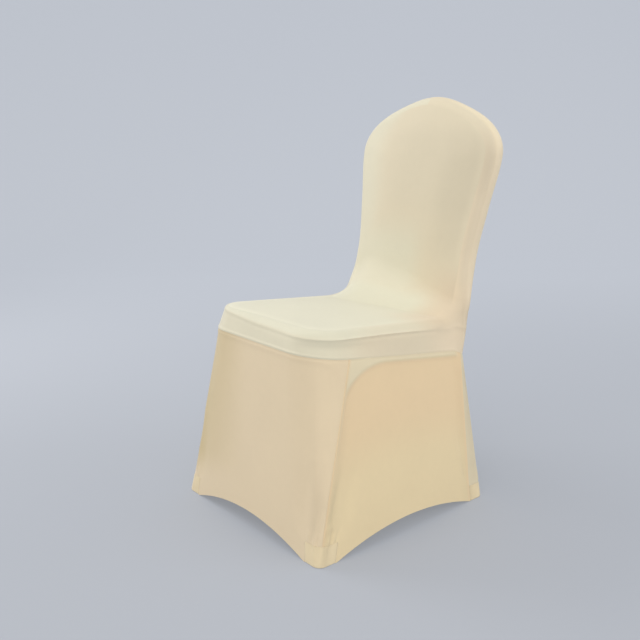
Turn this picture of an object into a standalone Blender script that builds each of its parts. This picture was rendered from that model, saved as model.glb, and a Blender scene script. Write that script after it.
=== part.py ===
"""Stretch chair cover: inside back with seat, outside back, front and side skirts, four foot pockets.

Metres, +Z up. The cover is laid out on its own floor (z = 0 under the feet, the sitter faces -Y) and
hangs from an empty that carries the point under the crown to the world origin. The chair is left out.
"""
import math

import bmesh
import bpy
import numpy as np

# Cloth
SHEET = 0.002            # thickness of the knitted cloth, with its folded edges
SEAM_GAP = 0.00034       # clearance between two panels along a seam

# Seat
SEAT_FRONT_Y = -0.225
SEAT_EDGE_HEIGHT = 0.478     # top of the front edge above the floor
SEAT_TILT = math.radians(4.4)
SEAT_HALF_FRONT = 0.204
SEAT_HALF_REAR = 0.201
SEAT_CORNER = 0.092          # plan radius of the front corners
SEAT_CROWN = 0.007           # how far the padding lifts the middle
CROWN_FULLNESS = 0.8         # under 1, the crown is fuller towards its ends than a sine
EDGE_ROUND = 0.020           # radius of the seat's upper edge
BAND_FLARE = 0.005           # how far the band stands out at its lower edge
BAND_FRONT = 0.052           # drop of the band below the seat edge, in front
BAND_REAR = 0.074            # and beside the backrest

# Backrest
OVERALL_HEIGHT = 0.945
BACK_Y = 0.220               # where the backrest's face would meet the seat
BACK_LEAN = math.radians(10.2)
BACK_FILLET = 0.048          # radius of the cloth between seat and backrest
BACK_DEPTH = 0.046           # front face to rear face
BACK_PAD = 0.008             # swell of the padded face
PAD_FULLNESS = 0.7           # the same for the backrest's swell
HEEL_BEND = 4                # how late the seat's edge bends in to meet the backrest
SHOULDER_Z = 0.811
SHOULDER_HALF = 0.216
SHOULDER_ANGLE = 36          # degrees round the crown at which rows of the side give way to columns
CROWN_FLAT = 0.055           # how much the crown's slopes are flatter than an ellipse
SIDE_ROUND = 0.015           # how far the rounded side stands out past the face
BACK_SIDES = (               # share of the way down from shoulder to seat, half width
    (0.00, 0.216),
    (0.34, 0.199),
    (0.67, 0.185),
    (1.00, 0.199),
)

# Waist, where the cloth is drawn in behind the seat
WAIST_START_Y = 0.200
WAIST_Y = 0.236
WAIST_Z = 0.353
WAIST_ROUND = 0.012
REAR_DRAW = 0.011            # how far the waist draws the rear in at the seat's height
REAR_DRAW_TOP = 0.61         # height at which this has faded

# Feet and hem
FRONT_FOOT = (0.233, -0.235)
REAR_FOOT = (0.227, 0.257)
FOOT_ROUND = 0.019           # plan radius of the corner over a foot
REAR_LEAD = 0.030            # stretch of hem in front of the rear seam that narrows into the turn
POCKET_SIDE = 0.050
POCKET_SHARE = 0.105         # share of the skirt's height that a pocket takes
POCKET_BACK_ROUND = 0.009
ARCH_FRONT = 0.038           # rise of the hem between two feet
ARCH_SIDE = 0.036
ARCH_REAR = 0.036
LEG_HOLLOW = 0.004           # how far the cloth sinks in beside a leg
LEG_SINK_SPAN = 0.40         # share of the skirt's height over which it does, from the pocket up
LEG_REACH = 0.045            # distance over which it does
SKIRT_LEVEL = 0.33           # height up to which the skirt counts as upright

FINE = 60                    # steps of a curve that is then divided into rows or columns

# Columns of faces, as shares of each stretch of the cover's outline, seen from above
FRONT_SHARES = (0.0, 0.11, 0.22, 0.33, 0.44, 0.54, 0.64, 0.727, 0.795, 0.865, 0.932, 1.0)
HEM_SHARES = (0.0, 0.14, 0.28, 0.42, 0.56, 0.70, 0.832, 0.945, 0.960, 0.974, 0.987, 1.0)
CORNER_COLUMN = 7            # the column of the front stretch that ends at the seat's corner
SIDE_SHARES = (0.0, 0.031, 0.062, 0.094, 0.16, 0.25, 0.35, 0.45, 0.55, 0.65, 0.75, 0.84, 0.90, 0.95, 1.0)
TURN_ANGLES = (0, 30, 60, 90, 112.5, 135, 157.5, 180)     # degrees round the backrest's side
SEAM_TURN = 2                # the step of the turn that carries the side seam
WAIST_SHARES = (0.0, 0.25, 0.50, 0.60, 0.70, 0.80, 0.90, 1.0)
REAR_SHARES = (0.0, 0.12, 0.27, 0.42, 0.56, 0.71, 0.86, 1.0)
SKIRT_ROWS = (0.0, 0.055, POCKET_SHARE, 0.19, 0.29, 0.40, 0.52, 0.64, 0.76, 0.88, 1.0)
POCKET_ROWS = 2
BACK_SHARES = (0.0, 0.022, 0.045, 0.07, 0.11, 0.17, 0.25, 0.34, 0.44, 0.54, 0.64, 0.73, 0.80, 0.86, 0.91,
               0.955, 1.0)
BAND_LIFT = (0.0, 0.5)       # straight part of the band, then a quarter round
BAND_TURN = (0.0, 22.5, 45.0, 67.5, 90.0)

POCKET_FRONT_COLUMNS = 5
POCKET_SIDE_COLUMNS = 3
POCKET_BACK_STEPS = 4
POCKET_EDGE = 0.0008         # small round under a pocket's floor

PAIRED = ("side_skirt", "front_pocket", "rear_pocket")
NODES = ("inside_back_and_seat", "outside_back", "front_skirt", "side_skirt_left", "side_skirt_right",
         "front_pocket_left", "front_pocket_right", "rear_pocket_left", "rear_pocket_right")

CLOTH_COLOURS = {
    "inside_back_and_seat": (0.78, 0.71, 0.55),
    "outside_back": (0.74, 0.65, 0.48),
    "front_skirt": (0.72, 0.62, 0.44),
    "side_skirt": (0.73, 0.62, 0.42),
    "foot_pocket": (0.76, 0.66, 0.46),
}


# ---------------------------------------------------------------- plane curves

def arc(centre, radius, start, end, steps=FINE):
    turn = np.radians(np.linspace(start, end, steps + 1))
    return np.stack([centre[0] + radius * np.cos(turn), centre[1] + radius * np.sin(turn)], 1)


def rounded(before, corner, after, radius, steps=FINE):
    """The arc that replaces a corner between two straight runs."""
    before, corner, after = (np.asarray(p, float) for p in (before, corner, after))
    u = (before - corner) / np.linalg.norm(before - corner)
    w = (after - corner) / np.linalg.norm(after - corner)
    half = math.acos(float(u @ w)) / 2
    bisector = (u + w) / np.linalg.norm(u + w)
    centre = corner + bisector * radius / math.sin(half)
    first = corner + u * radius / math.tan(half) - centre
    last = corner + w * radius / math.tan(half) - centre
    swing = math.pi - 2 * half
    share = np.linspace(0, 1, steps + 1)[:, None]
    return centre + (np.sin((1 - share) * swing) * first + np.sin(share * swing) * last) / math.sin(swing)


def along(path, shares):
    """Points at the given shares of a path's length."""
    path = np.asarray(path, float)
    reach = np.concatenate([[0], np.cumsum(np.linalg.norm(np.diff(path, axis=0), axis=1))])
    at = np.asarray(shares, float) * reach[-1]
    return np.stack([np.interp(at, reach, path[:, k]) for k in range(path.shape[1])], 1)


def even(count):
    return np.linspace(0, 1, count + 1)


def smooth_table(table, at):
    """A smooth curve through a short table of (place, value) rows."""
    x = np.array([row[0] for row in table])
    y = np.array([row[1] for row in table])
    slope = np.gradient(y, x)
    slope[0] = 0
    k = np.clip(np.searchsorted(x, at) - 1, 0, len(x) - 2)
    run = x[k + 1] - x[k]
    t = (at - x[k]) / run
    return (y[k] * (1 + 2 * t) * (1 - t) ** 2 + y[k + 1] * t * t * (3 - 2 * t)
            + run * slope[k] * t * (1 - t) ** 2 - run * slope[k + 1] * t * t * (1 - t))


def patch(bottom, top, left, right, shares):
    """A sheet of points spanned between four edges; shares place its rows from bottom to top."""
    bottom, top, left, right = (np.asarray(e, float) for e in (bottom, top, left, right))
    u = even(len(bottom) - 1)[:, None, None]
    v = np.asarray(shares, float)[None, :, None]
    sheet = (1 - v) * bottom[:, None] + v * top[:, None] + (1 - u) * left[None] + u * right[None]
    corners = ((1 - u) * (1 - v) * bottom[0] + u * (1 - v) * bottom[-1]
               + (1 - u) * v * top[0] + u * v * top[-1])
    return sheet - corners


# ---------------------------------------------------------------- the cover's lines

def seat_line(y):
    """Height of the seat's top, straight from front to rear."""
    return SEAT_EDGE_HEIGHT - (y - SEAT_FRONT_Y) * math.tan(SEAT_TILT)


def band_line(y):
    """Height of the band's lower edge."""
    share = (y - SEAT_FRONT_Y) / (WAIST_START_Y - SEAT_FRONT_Y)
    return seat_line(y) - BAND_FRONT - (BAND_REAR - BAND_FRONT) * share


def seat_outline():
    """Plan of the seat's edge: front stretch to the end of the corner, then the side."""
    straight = SEAT_HALF_FRONT - SEAT_CORNER
    corner = arc((straight, SEAT_FRONT_Y + SEAT_CORNER), SEAT_CORNER, -90, 0)
    front = np.vstack([[[0, SEAT_FRONT_Y]], corner])
    side = np.array([corner[-1], [SEAT_HALF_REAR, WAIST_START_Y]])
    return along(front, FRONT_SHARES), along(side, SIDE_SHARES)


def band_ring():
    """The line under the band and round the waist: front, side, turn and rear stretches."""
    front, side = seat_outline()
    bend = rounded((SEAT_HALF_REAR, WAIST_START_Y), (SEAT_HALF_REAR, WAIST_Y), (0, WAIST_Y), WAIST_ROUND)
    turn = along(np.vstack([side[-1:], bend]), WAIST_SHARES)
    rear = along([bend[-1], (0, WAIST_Y)], REAR_SHARES)
    fall = np.array(WAIST_SHARES)
    turn_height = band_line(WAIST_START_Y) * (1 - fall) + WAIST_Z * fall
    return [np.c_[front, band_line(front[:, 1])], np.c_[side, band_line(side[:, 1])],
            np.c_[turn, turn_height], np.c_[rear, np.full(len(rear), WAIST_Z)]]


def hem_arch(distance, reach, rise):
    """Height of the hem at a distance from the middle of a span that reaches to the pockets."""
    return rise * np.clip(1 - (distance / reach) ** 2, 0, 1)


def hem_ring():
    """The lower edge, foot to foot, in the same stretches as the band's ring."""
    (fx, fy), (rx, ry) = FRONT_FOOT, REAR_FOOT
    lap = POCKET_SIDE - FOOT_ROUND
    front = np.vstack([[[0, fy - FOOT_ROUND]], arc((fx, fy), FOOT_ROUND, -90, -45)])
    seam_y = ry - lap
    side_end = (rx + FOOT_ROUND, seam_y - REAR_LEAD)
    side = np.vstack([arc((fx, fy), FOOT_ROUND, -45, 0), [side_end]])
    before = along([side_end, (rx + FOOT_ROUND, seam_y)], even(SEAM_TURN))
    corner = arc((rx, ry), FOOT_ROUND, 0, 90, len(TURN_ANGLES) - SEAM_TURN - 2)
    turn = np.vstack([before, corner])
    rear = np.array([corner[-1], [0, ry + FOOT_ROUND]])
    front, side, rear = along(front, HEM_SHARES), along(side, SIDE_SHARES), along(rear, REAR_SHARES)
    middle = (fy + lap + seam_y) / 2
    reach = (seam_y - fy - lap) / 2
    rise_front = hem_arch(front[:, 0], fx - lap, ARCH_FRONT)
    rise_side = hem_arch(side[:, 1] - middle, reach, ARCH_SIDE)
    rise_turn = hem_arch(turn[:, 1] - middle, reach, ARCH_SIDE)
    rise_rear = hem_arch(rear[:, 0], rx - lap, ARCH_REAR)
    return [np.c_[front, rise_front], np.c_[side, rise_side], np.c_[turn, rise_turn], np.c_[rear, rise_rear]]


def sitting_profile():
    """Side view of the seat's top and the backrest's face, split halfway round the fillet."""
    start = (SEAT_FRONT_Y + EDGE_ROUND, seat_line(SEAT_FRONT_Y + EDGE_ROUND))
    joint = (BACK_Y, seat_line(BACK_Y))
    top = (lean_line(OVERALL_HEIGHT), OVERALL_HEIGHT)
    bend = rounded(start, joint, top, BACK_FILLET)
    middle = len(bend) // 2
    return np.vstack([[start], bend[:middle + 1]]), np.vstack([bend[middle:], [top]])


def lean_line(z):
    """How far back the straight face of the backrest is at a height."""
    return BACK_Y + (z - seat_line(BACK_Y)) * math.tan(BACK_LEAN)


def rear_line(z):
    """The same for its rear, which the waist draws in towards the seat."""
    drawn = np.clip((REAR_DRAW_TOP - z) / (REAR_DRAW_TOP - seat_line(BACK_Y)), 0, 1)
    return lean_line(z) + BACK_DEPTH - REAR_DRAW * drawn ** 2


def back_outline(low):
    """Outline of the backrest from its foot up the side to the shoulder, and from there to the crown."""
    turn = np.radians(np.linspace(0, 90, FINE + 1))
    rise = OVERALL_HEIGHT - SHOULDER_Z
    radius = SHOULDER_HALF * rise / np.hypot(rise * np.cos(turn), SHOULDER_HALF * np.sin(turn))
    radius = radius * (1 - CROWN_FLAT * np.sin(2 * turn) ** 2)
    crown = np.stack([radius * np.cos(turn), SHOULDER_Z + radius * np.sin(turn)], 1)
    fall = np.linspace(1, 0, FINE + 1)[:-1]
    side = np.stack([smooth_table(BACK_SIDES, fall), SHOULDER_Z - (SHOULDER_Z - low) * fall], 1)
    shoulder = round(FINE * SHOULDER_ANGLE / 90)
    return (along(np.vstack([side, crown[:shoulder + 1]]), BACK_SHARES),
            along(crown[shoulder:], even(CORNER_COLUMN)))


def back_side(face):
    """The rounded side of the backrest: one line of points for each step of the turn."""
    side, crown = back_outline(face[0, 1])
    outline = np.vstack([side, crown[1:]])
    tangent = np.gradient(outline, axis=0)
    tangent = tangent / np.linalg.norm(tangent, axis=1)[:, None]
    tangent[0] = (0, 1)
    tangent[-1] = (-1, 0)
    outward = np.stack([tangent[:, 1], -tangent[:, 0]], 1)
    lines = []
    for angle in np.radians(TURN_ANGLES):
        inset = outline - outward * SIDE_ROUND * (1 - math.sin(angle))
        depth = (1 - math.cos(angle)) / 2
        front_y = np.interp(inset[:, 1], face[:, 1], face[:, 0])
        y = front_y * (1 - depth) + rear_line(inset[:, 1]) * depth
        lines.append(np.c_[inset[:, 0], y, inset[:, 1]])
    return np.array(lines)


def beside_legs(skirt, front_columns, side_columns):
    """Sink the skirt a little on both sides of the front leg, most of all above the pocket."""
    ridge = skirt[:, front_columns - 1]
    stretch = np.linalg.norm(skirt[:, :front_columns + side_columns] - ridge[:, None], axis=2)
    near = stretch / LEG_REACH
    share = np.array(SKIRT_ROWS)[:, None]
    sink = LEG_HOLLOW * np.clip(np.sin(math.pi * np.clip(near / 2, 0, 1)), 0, 1) ** 2
    sink = sink * np.sin(math.pi * np.clip((share - POCKET_SHARE) / LEG_SINK_SPAN, 0, 1))
    to_middle = np.array([-1.0, 1.0, 0.0]) / math.sqrt(2)
    skirt[:, :front_columns + side_columns] += sink[..., None] * to_middle
    return skirt


# ---------------------------------------------------------------- the cover's skin

def level_normals(line):
    """Level direction out of the cover at each point of a line that starts in the middle of the front."""
    tangent = np.gradient(line[:, :2], axis=0)
    tangent = tangent / np.linalg.norm(tangent, axis=1)[:, None]
    tangent[0] = (1, 0)
    return np.stack([tangent[:, 1], -tangent[:, 0], np.zeros(len(tangent))], 1)


def shares_of(line):
    """Share of a line's length at each of its points."""
    reach = np.concatenate([[0], np.cumsum(np.linalg.norm(np.diff(line, axis=0), axis=1))])
    return reach / reach[-1]


def joined(stretches):
    """One line from stretches that share their end points."""
    return np.vstack([stretches[0]] + [part[1:] for part in stretches[1:]])


def seat_edge(outline, profile, heel):
    """The seat's upper edge, moved in from the band's line: its front stretch and its side stretch."""
    inner = (outline - level_normals(outline) * (BAND_FLARE + EDGE_ROUND))[:, :2]
    side = inner[CORNER_COLUMN:].copy()
    run = (side[:, 1] - side[0, 1]) / (side[-1, 1] - side[0, 1])
    side[:, 1] = side[0, 1] + run * (heel[1] - side[0, 1])
    side[:, 0] += run ** HEEL_BEND * (heel[0] - side[-1, 0])
    height = np.interp(side[:, 1], profile[:, 0], profile[:, 1])
    height = np.where(side[:, 1] < profile[0, 0], seat_line(side[:, 1]), height)
    front = inner[:CORNER_COLUMN + 1]
    return np.c_[front, seat_line(front[:, 1])], np.c_[side, height]


def seat_sheet(front, side, profile, heel):
    """The seat's top, crowned by its padding, and the line where it turns up into the backrest."""
    depth = shares_of(side)
    middle = along(profile, depth)
    middle = np.c_[np.zeros(len(middle)), middle]
    middle[0] = front[0]
    across = even(CORNER_COLUMN)[:, None]
    joint = middle[-1] * (1 - across) + heel * across
    seat = patch(front, joint, middle, side, depth)
    seat[..., 2] += SEAT_CROWN * (1 - across ** 2) * np.sin(math.pi * depth[None]) ** CROWN_FULLNESS
    return seat, joint


def band_sheet(outline, top_line):
    """The band: up from its lower line, leaning in, then a quarter round onto the seat."""
    rise = top_line[:, 2] - outline[:, 2]
    lean = level_normals(outline) * BAND_FLARE
    rows = []
    for lift in BAND_LIFT:
        row = outline - lean * lift
        row[:, 2] += lift * (rise - EDGE_ROUND)
        rows.append(row)
    upright = outline - lean
    for angle in np.radians(BAND_TURN):
        row = upright + (top_line - upright) * (1 - math.cos(angle))
        row[:, 2] = top_line[:, 2] - EDGE_ROUND * (1 - math.sin(angle))
        rows.append(row)
    return np.array(rows)


def neck_sheets(waist_turn, waist_rear, band, turn):
    """The cloth from the waist up to the backrest's foot: round the side, and across the rear."""
    lift = shares_of(band[:, -1])[:, None, None]
    side = waist_turn[None] * (1 - lift) + turn[:, 0][None] * lift
    swell = band[:, -1] - side[:, 0]
    side += swell[:, None] * (1 - even(len(TURN_ANGLES) - 1)[None, :, None]) ** 2
    heel_rear = turn[-1, 0]
    across = np.array(REAR_SHARES)[:, None]
    rear_foot = heel_rear * (1 - across) + heel_rear * (0, 1, 1) * across
    rear = waist_rear[None] * (1 - lift) + rear_foot[None] * lift
    rear[:, 0] = side[:, -1]
    return side, rear


def back_sheets(face, joint, turn, rear_foot):
    """The padded face of the backrest and its flat rear, both spanned inside the rounded side."""
    rows = np.array(BACK_SHARES)
    last = len(rows) - 1
    across = even(CORNER_COLUMN)[:, None]
    face_top = turn[0, last:][::-1]
    face_middle = np.c_[np.zeros(len(rows)), along(face, rows)]
    face_middle[-1] = face_top[0]
    front = patch(joint, face_top, face_middle, turn[0, :last + 1], rows)
    front[..., 1] -= BACK_PAD * (1 - across ** 2) * np.sin(math.pi * rows[None]) ** PAD_FULLNESS
    rear_top = turn[-1, last:][::-1]
    height = rear_foot[0, 2] + (rear_top[0, 2] - rear_foot[0, 2]) * rows
    rear_middle = np.stack([np.zeros(len(rows)), rear_line(height), height], 1)
    rear = patch(rear_foot[::-1], rear_top, rear_middle, turn[-1, :last + 1], rows)
    return front, rear


def skirt_sheet(ring, hem):
    """The skirt, straight from the band's line to the hem but for the hollows beside the front legs."""
    share = np.array(SKIRT_ROWS)[:, None, None]
    skirt = joined(hem)[None] * (1 - share) + joined(ring)[None] * share
    return beside_legs(skirt, len(ring[0]), len(ring[1]) - 1)


def half_skin():
    """Sheets of points over the +X half, each with the names of its cells, and the pockets' walls."""
    ring = band_ring()
    outline = joined(ring[:2])
    skirt = skirt_sheet(ring, hem_ring())
    profile, face = sitting_profile()
    turn = back_side(face)
    heel = turn[0, 0]
    front, side = seat_edge(outline, profile, heel)
    seat, joint = seat_sheet(front, side, profile, heel)
    band = band_sheet(outline, joined([front, side]))
    neck, rear_low = neck_sheets(ring[2], ring[3], band, turn)
    back, rear = back_sheets(face, joint, turn, rear_low[-1])

    seam = len(ring[0]) - 1
    back_seam = seam + len(ring[1]) - 1 + SEAM_TURN
    sit, shell = "inside_back_and_seat", "outside_back"
    sheets = [(skirt, skirt_cells(seam, back_seam, skirt.shape[1] - 1))]
    sheets += [one_panel(points, sit) for points in (band, seat, back, neck[:, :SEAM_TURN + 1],
                                                     turn[:SEAM_TURN + 1])]
    sheets += [one_panel(points, shell) for points in (neck[:, SEAM_TURN:], rear_low, rear,
                                                       turn[SEAM_TURN:])]
    pockets = {"front_pocket": (pocket_start(seam), seam + POCKET_SIDE_COLUMNS),
               "rear_pocket": (back_seam, back_seam + len(TURN_ANGLES) - SEAM_TURN)}
    walls = {name: skirt[:POCKET_ROWS + 1, first:last + 1] for name, (first, last) in pockets.items()}
    return sheets, walls


def pocket_start(seam):
    return seam - POCKET_FRONT_COLUMNS


def one_panel(points, name):
    return points, [[name] * (points.shape[1] - 1) for _ in range(points.shape[0] - 1)]


def skirt_cells(seam, back_seam, columns):
    """The panel of each face of the skirt: its foot corners belong to the pockets."""
    rows = []
    for row in range(len(SKIRT_ROWS) - 1):
        names = ["front_skirt"] * seam + ["side_skirt"] * (back_seam - seam)
        names += ["outside_back"] * (columns - back_seam)
        if row < POCKET_ROWS:
            last = back_seam + len(TURN_ANGLES) - SEAM_TURN
            names[pocket_start(seam):seam + POCKET_SIDE_COLUMNS] = ["front_pocket"] * (
                POCKET_FRONT_COLUMNS + POCKET_SIDE_COLUMNS)
            names[back_seam:last] = ["rear_pocket"] * (last - back_seam)
        rows.append(names)
    return rows


# ---------------------------------------------------------------- solids

def node_name(panel, mirror):
    return panel + ({1: "_left", -1: "_right"}[mirror] if panel in PAIRED else "")


def whole_skin(sheets):
    """Both halves of the skin as one mesh with outward faces; a face's index is its node's."""
    skin = bmesh.new()
    for mirror in (1, -1):
        for points, cells in sheets:
            grid = [[skin.verts.new((mirror * p[0], p[1], p[2])) for p in row] for row in points]
            for i, names in enumerate(cells):
                for j, name in enumerate(names):
                    face = skin.faces.new((grid[i][j], grid[i][j + 1], grid[i + 1][j + 1], grid[i + 1][j]))
                    face.material_index = NODES.index(node_name(name, mirror))
    bmesh.ops.remove_doubles(skin, verts=skin.verts, dist=1e-5)
    bmesh.ops.recalc_face_normals(skin, faces=skin.faces)
    foremost = min(skin.faces, key=lambda face: face.calc_center_median().y)
    if foremost.normal.y > 0:
        bmesh.ops.reverse_faces(skin, faces=skin.faces)
    skin.normal_update()
    return skin


def seam_shifts(faces):
    """How far each vertex on a panel's border moves into the panel, to leave half the seam's gap."""
    own = set(faces)
    sides_at = {}
    border = []
    for face in faces:
        for loop in face.loops:
            if sum(other in own for other in loop.edge.link_faces) == 1:
                start, end = loop.vert, loop.link_loop_next.vert
                border.append((start, end))
                side = face.normal.cross(end.co - start.co).normalized()
                for vert in (start, end):
                    sides_at.setdefault(vert, []).append(side)
    shifts = {}
    for vert, sides in sides_at.items():
        first, second = sides[0], sides[-1]
        shifts[vert] = (first + second) * (SEAM_GAP / 2 / (1 + first.dot(second)))
    return shifts, border


def inward(vert):
    """Direction of the cloth's thickness at a point: level in the skirt, square to it above."""
    direction = -vert.normal
    if vert.co.z < SKIRT_LEVEL:
        direction.z = 0
    return direction.normalized()


def panel_solid(skin, index):
    """A closed sheet: the panel's faces, the same faces further in, and the rim between them."""
    faces = [face for face in skin.faces if face.material_index == index]
    shifts, border = seam_shifts(faces)
    solid = bmesh.new()
    outer, inner = {}, {}
    for vert in {vert for face in faces for vert in face.verts}:
        place = vert.co + shifts[vert] if vert in shifts else vert.co
        outer[vert] = solid.verts.new(place)
        inner[vert] = solid.verts.new(place + inward(vert) * SHEET)
    for face in faces:
        solid.faces.new([outer[vert] for vert in face.verts])
        solid.faces.new([inner[vert] for vert in reversed(face.verts)])
    for start, end in border:
        solid.faces.new((outer[end], outer[start], inner[start], inner[end]))
    return solid


def moved_in(ring, distance):
    """A closed plan outline moved towards its inside."""
    ring = np.asarray(ring, float)
    step = np.roll(ring, -1, axis=0) - ring
    step = step / np.linalg.norm(step, axis=1)[:, None]
    area = np.sum(ring[:, 0] * np.roll(ring[:, 1], -1) - np.roll(ring[:, 0], -1) * ring[:, 1])
    after = np.stack([-step[:, 1], step[:, 0]], 1) * np.sign(area)
    before = np.roll(after, 1, axis=0)
    return ring + distance * (before + after) / (1 + np.sum(before * after, axis=1))[:, None]


def pocket_solid(wall, mirror):
    """A pouch round a leg's tip: the skirt's corner in front, a rounded back, a floor, an open top."""
    wall = wall.copy()
    wall[-1, :, 2] -= SEAM_GAP / 2
    for edge, beside in ((0, 1), (-1, -2)):
        into = wall[:, beside] - wall[:, edge]
        wall[:, edge] += into / np.linalg.norm(into, axis=1)[:, None] * SEAM_GAP / 2
    outlines, heights = [], []
    for row in wall:
        first, last = row[0, :2], row[-1, :2]
        middle = row[len(row) // 2, :2]
        corner = max(((first[0], last[1]), (last[0], first[1])), key=lambda p: math.dist(p, middle))
        bend = rounded(last, corner, first, POCKET_BACK_ROUND, POCKET_BACK_STEPS)
        outlines.append(np.vstack([row[:, :2], bend]))
        heights.append(np.concatenate([row[:, 2], np.linspace(row[-1, 2], row[0, 2], len(bend) + 2)[1:-1]]))
    floor = np.zeros(len(outlines[0]))
    levels = [(moved_in(outlines[0], POCKET_EDGE), floor), (outlines[0], floor + POCKET_EDGE)]
    levels += list(zip(outlines[1:], heights[1:]))
    levels += [(moved_in(outline, SHEET), height) for outline, height in levels[:1:-1]]
    levels.append((moved_in(outlines[0], SHEET), floor + SHEET))
    solid = bmesh.new()
    rings = [[solid.verts.new((mirror * x, y, z)) for (x, y), z in zip(outline, height)]
             for outline, height in levels]
    for lower, upper in zip(rings, rings[1:]):
        for k in range(len(lower)):
            solid.faces.new((lower[k - 1], lower[k], upper[k], upper[k - 1]))
    solid.faces.new(rings[0])
    solid.faces.new(rings[-1])
    bmesh.ops.recalc_face_normals(solid, faces=solid.faces)
    return solid


def cloth(colour, name):
    material = bpy.data.materials.new(name)
    material.use_nodes = True
    shader = material.node_tree.nodes["Principled BSDF"]
    shader.inputs["Base Color"].default_value = (*colour, 1)
    shader.inputs["Roughness"].default_value = 0.8
    shader.inputs["Sheen Weight"].default_value = 0.3
    return material


def add_piece(name, solid, material, parent):
    mesh = bpy.data.meshes.new(name)
    solid.to_mesh(mesh)
    solid.free()
    mesh.materials.append(material)
    mesh.shade_smooth()
    mesh.set_sharp_from_angle(angle=math.radians(40))
    piece = bpy.data.objects.new(name, mesh)
    piece.parent = parent
    bpy.context.collection.objects.link(piece)
    return piece


def build():
    for old in list(bpy.data.objects):
        bpy.data.objects.remove(old, do_unlink=True)
    sheets, walls = half_skin()
    hanging_point = (0, lean_line(OVERALL_HEIGHT) + BACK_DEPTH / 2, OVERALL_HEIGHT - SHEET)
    origin = bpy.data.objects.new("cover_origin", None)
    bpy.context.collection.objects.link(origin)
    origin.location = [-place for place in hanging_point]
    materials = {panel: cloth(colour, panel + "_cloth") for panel, colour in CLOTH_COLOURS.items()}
    skin = whole_skin(sheets)
    for index, node in enumerate(NODES):
        if "pocket" not in node:
            panel = node.removesuffix("_left").removesuffix("_right")
            add_piece(node, panel_solid(skin, index), materials[panel], origin)
    for panel, wall in walls.items():
        for mirror in (1, -1):
            solid = pocket_solid(wall, mirror)
            add_piece(node_name(panel, mirror), solid, materials["foot_pocket"], origin)
    skin.free()


build()
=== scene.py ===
import math

import bpy
import numpy as np
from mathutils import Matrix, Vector, kdtree


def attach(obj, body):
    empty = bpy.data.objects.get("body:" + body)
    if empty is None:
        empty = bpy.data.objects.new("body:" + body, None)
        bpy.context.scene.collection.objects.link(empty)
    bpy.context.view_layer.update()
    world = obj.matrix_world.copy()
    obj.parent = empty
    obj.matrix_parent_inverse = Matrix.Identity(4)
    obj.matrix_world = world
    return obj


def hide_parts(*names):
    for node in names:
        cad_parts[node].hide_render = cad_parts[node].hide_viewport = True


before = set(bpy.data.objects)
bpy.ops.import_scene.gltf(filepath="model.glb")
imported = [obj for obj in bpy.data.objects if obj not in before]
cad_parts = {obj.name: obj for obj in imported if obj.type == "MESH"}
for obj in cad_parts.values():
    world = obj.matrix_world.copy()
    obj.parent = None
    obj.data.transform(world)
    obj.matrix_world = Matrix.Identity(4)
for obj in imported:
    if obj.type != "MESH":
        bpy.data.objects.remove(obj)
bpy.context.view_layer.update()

# ---------------------------------------------------------------------------------------------
# Inside back and seat: one panel of cream stretch knit that runs from the crown down the face of
# the backrest, over the padded seat and down the band round its edge. It is cut in one, pulled
# tight over the chair, and sewn to the outside back up the sides and to the skirts under the band.

KNIT = 0.0010                # thickness of one layer of cloth

SEAT_FRONT_Y = -0.225        # laid out on the floor: z = 0 under the feet, the sitter faces -Y
SEAT_EDGE_HEIGHT = 0.478     # in front; it falls towards the rear
SEAT_TILT = math.radians(4.4)
SEAT_HALF_FRONT = 0.204      # half its width
SEAT_HALF_REAR = 0.201
SEAT_CORNER = 0.092          # plan radius of the front corners
SEAT_CROWN = 0.007           # how far the padding stands up in the middle
CROWN_FULLNESS = 0.8         # below 1 it rises steeply from the front edge
SEAT_ROLL = 0.035            # how far inside the band's line the seat turns flat
BAND_FRONT = 0.052           # drop of the band below the seat edge, in front
BAND_REAR = 0.074            # and beside the backrest

OVERALL_HEIGHT = 0.945
BACK_Y = 0.220               # where the straight lines of the seat and the backrest's face would meet
BACK_LEAN = math.radians(10.2)
BACK_FILLET = 0.048          # radius of the bend between them
BACK_DEPTH = 0.046
REAR_FULL = 0.004            # how far the cloth stands off the rear edges of the backrest
REAR_FULL_RISE = 0.120       # and the height over which it comes away from them
BACK_PAD = 0.016             # how far the padding swells the face of the backrest
HEEL_BEND = 4                # how suddenly the seat's edge swings in to the backrest's foot
SHOULDER_Z = 0.811           # where the straight side ends and the crown's half ellipse starts
SHOULDER_HALF = 0.216
SHOULDER_ANGLE = 36          # degrees up the crown where the side's rows of points end and the top's start
CROWN_FLAT = 0.055           # how much flatter than an ellipse its corners are
SIDE_ROUND = 0.021           # how far in the backrest's side rounds over
HEEL_ROUND = 0.038           # and at its foot, where it runs out into the seat's edge
# Share of the way down from the shoulder, and half the backrest's width there
BACK_SIDES = ((0.00, 0.216), (0.34, 0.200), (0.67, 0.188), (1.00, 0.203))

WAIST_START_Y = 0.200        # where the cloth is drawn in behind the seat
WAIST_Y = 0.236
WAIST_Z = 0.353
WAIST_ROUND = 0.012          # plan radius of its corners
WAIST_EASE = 0.0062          # how far the cloth bridges the waist's bend across the rear
WAIST_EASE_SPAN = 0.062      # and the height over which it does, up and down
REAR_DRAW = 0.011            # how far the rear of the backrest is drawn in above the waist
REAR_DRAW_TOP = 0.61

FINE = 240                   # steps of a finely drawn line


def hermite(t, start, end, slope, last_slope):
    """A smooth curve from one value to the next, t going from 0 to 1, by its slope at each end."""
    return (start * (1 + 2 * t) * (1 - t) ** 2 + end * t * t * (3 - 2 * t)
            + slope * t * (1 - t) ** 2 - last_slope * t * t * (1 - t))


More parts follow.
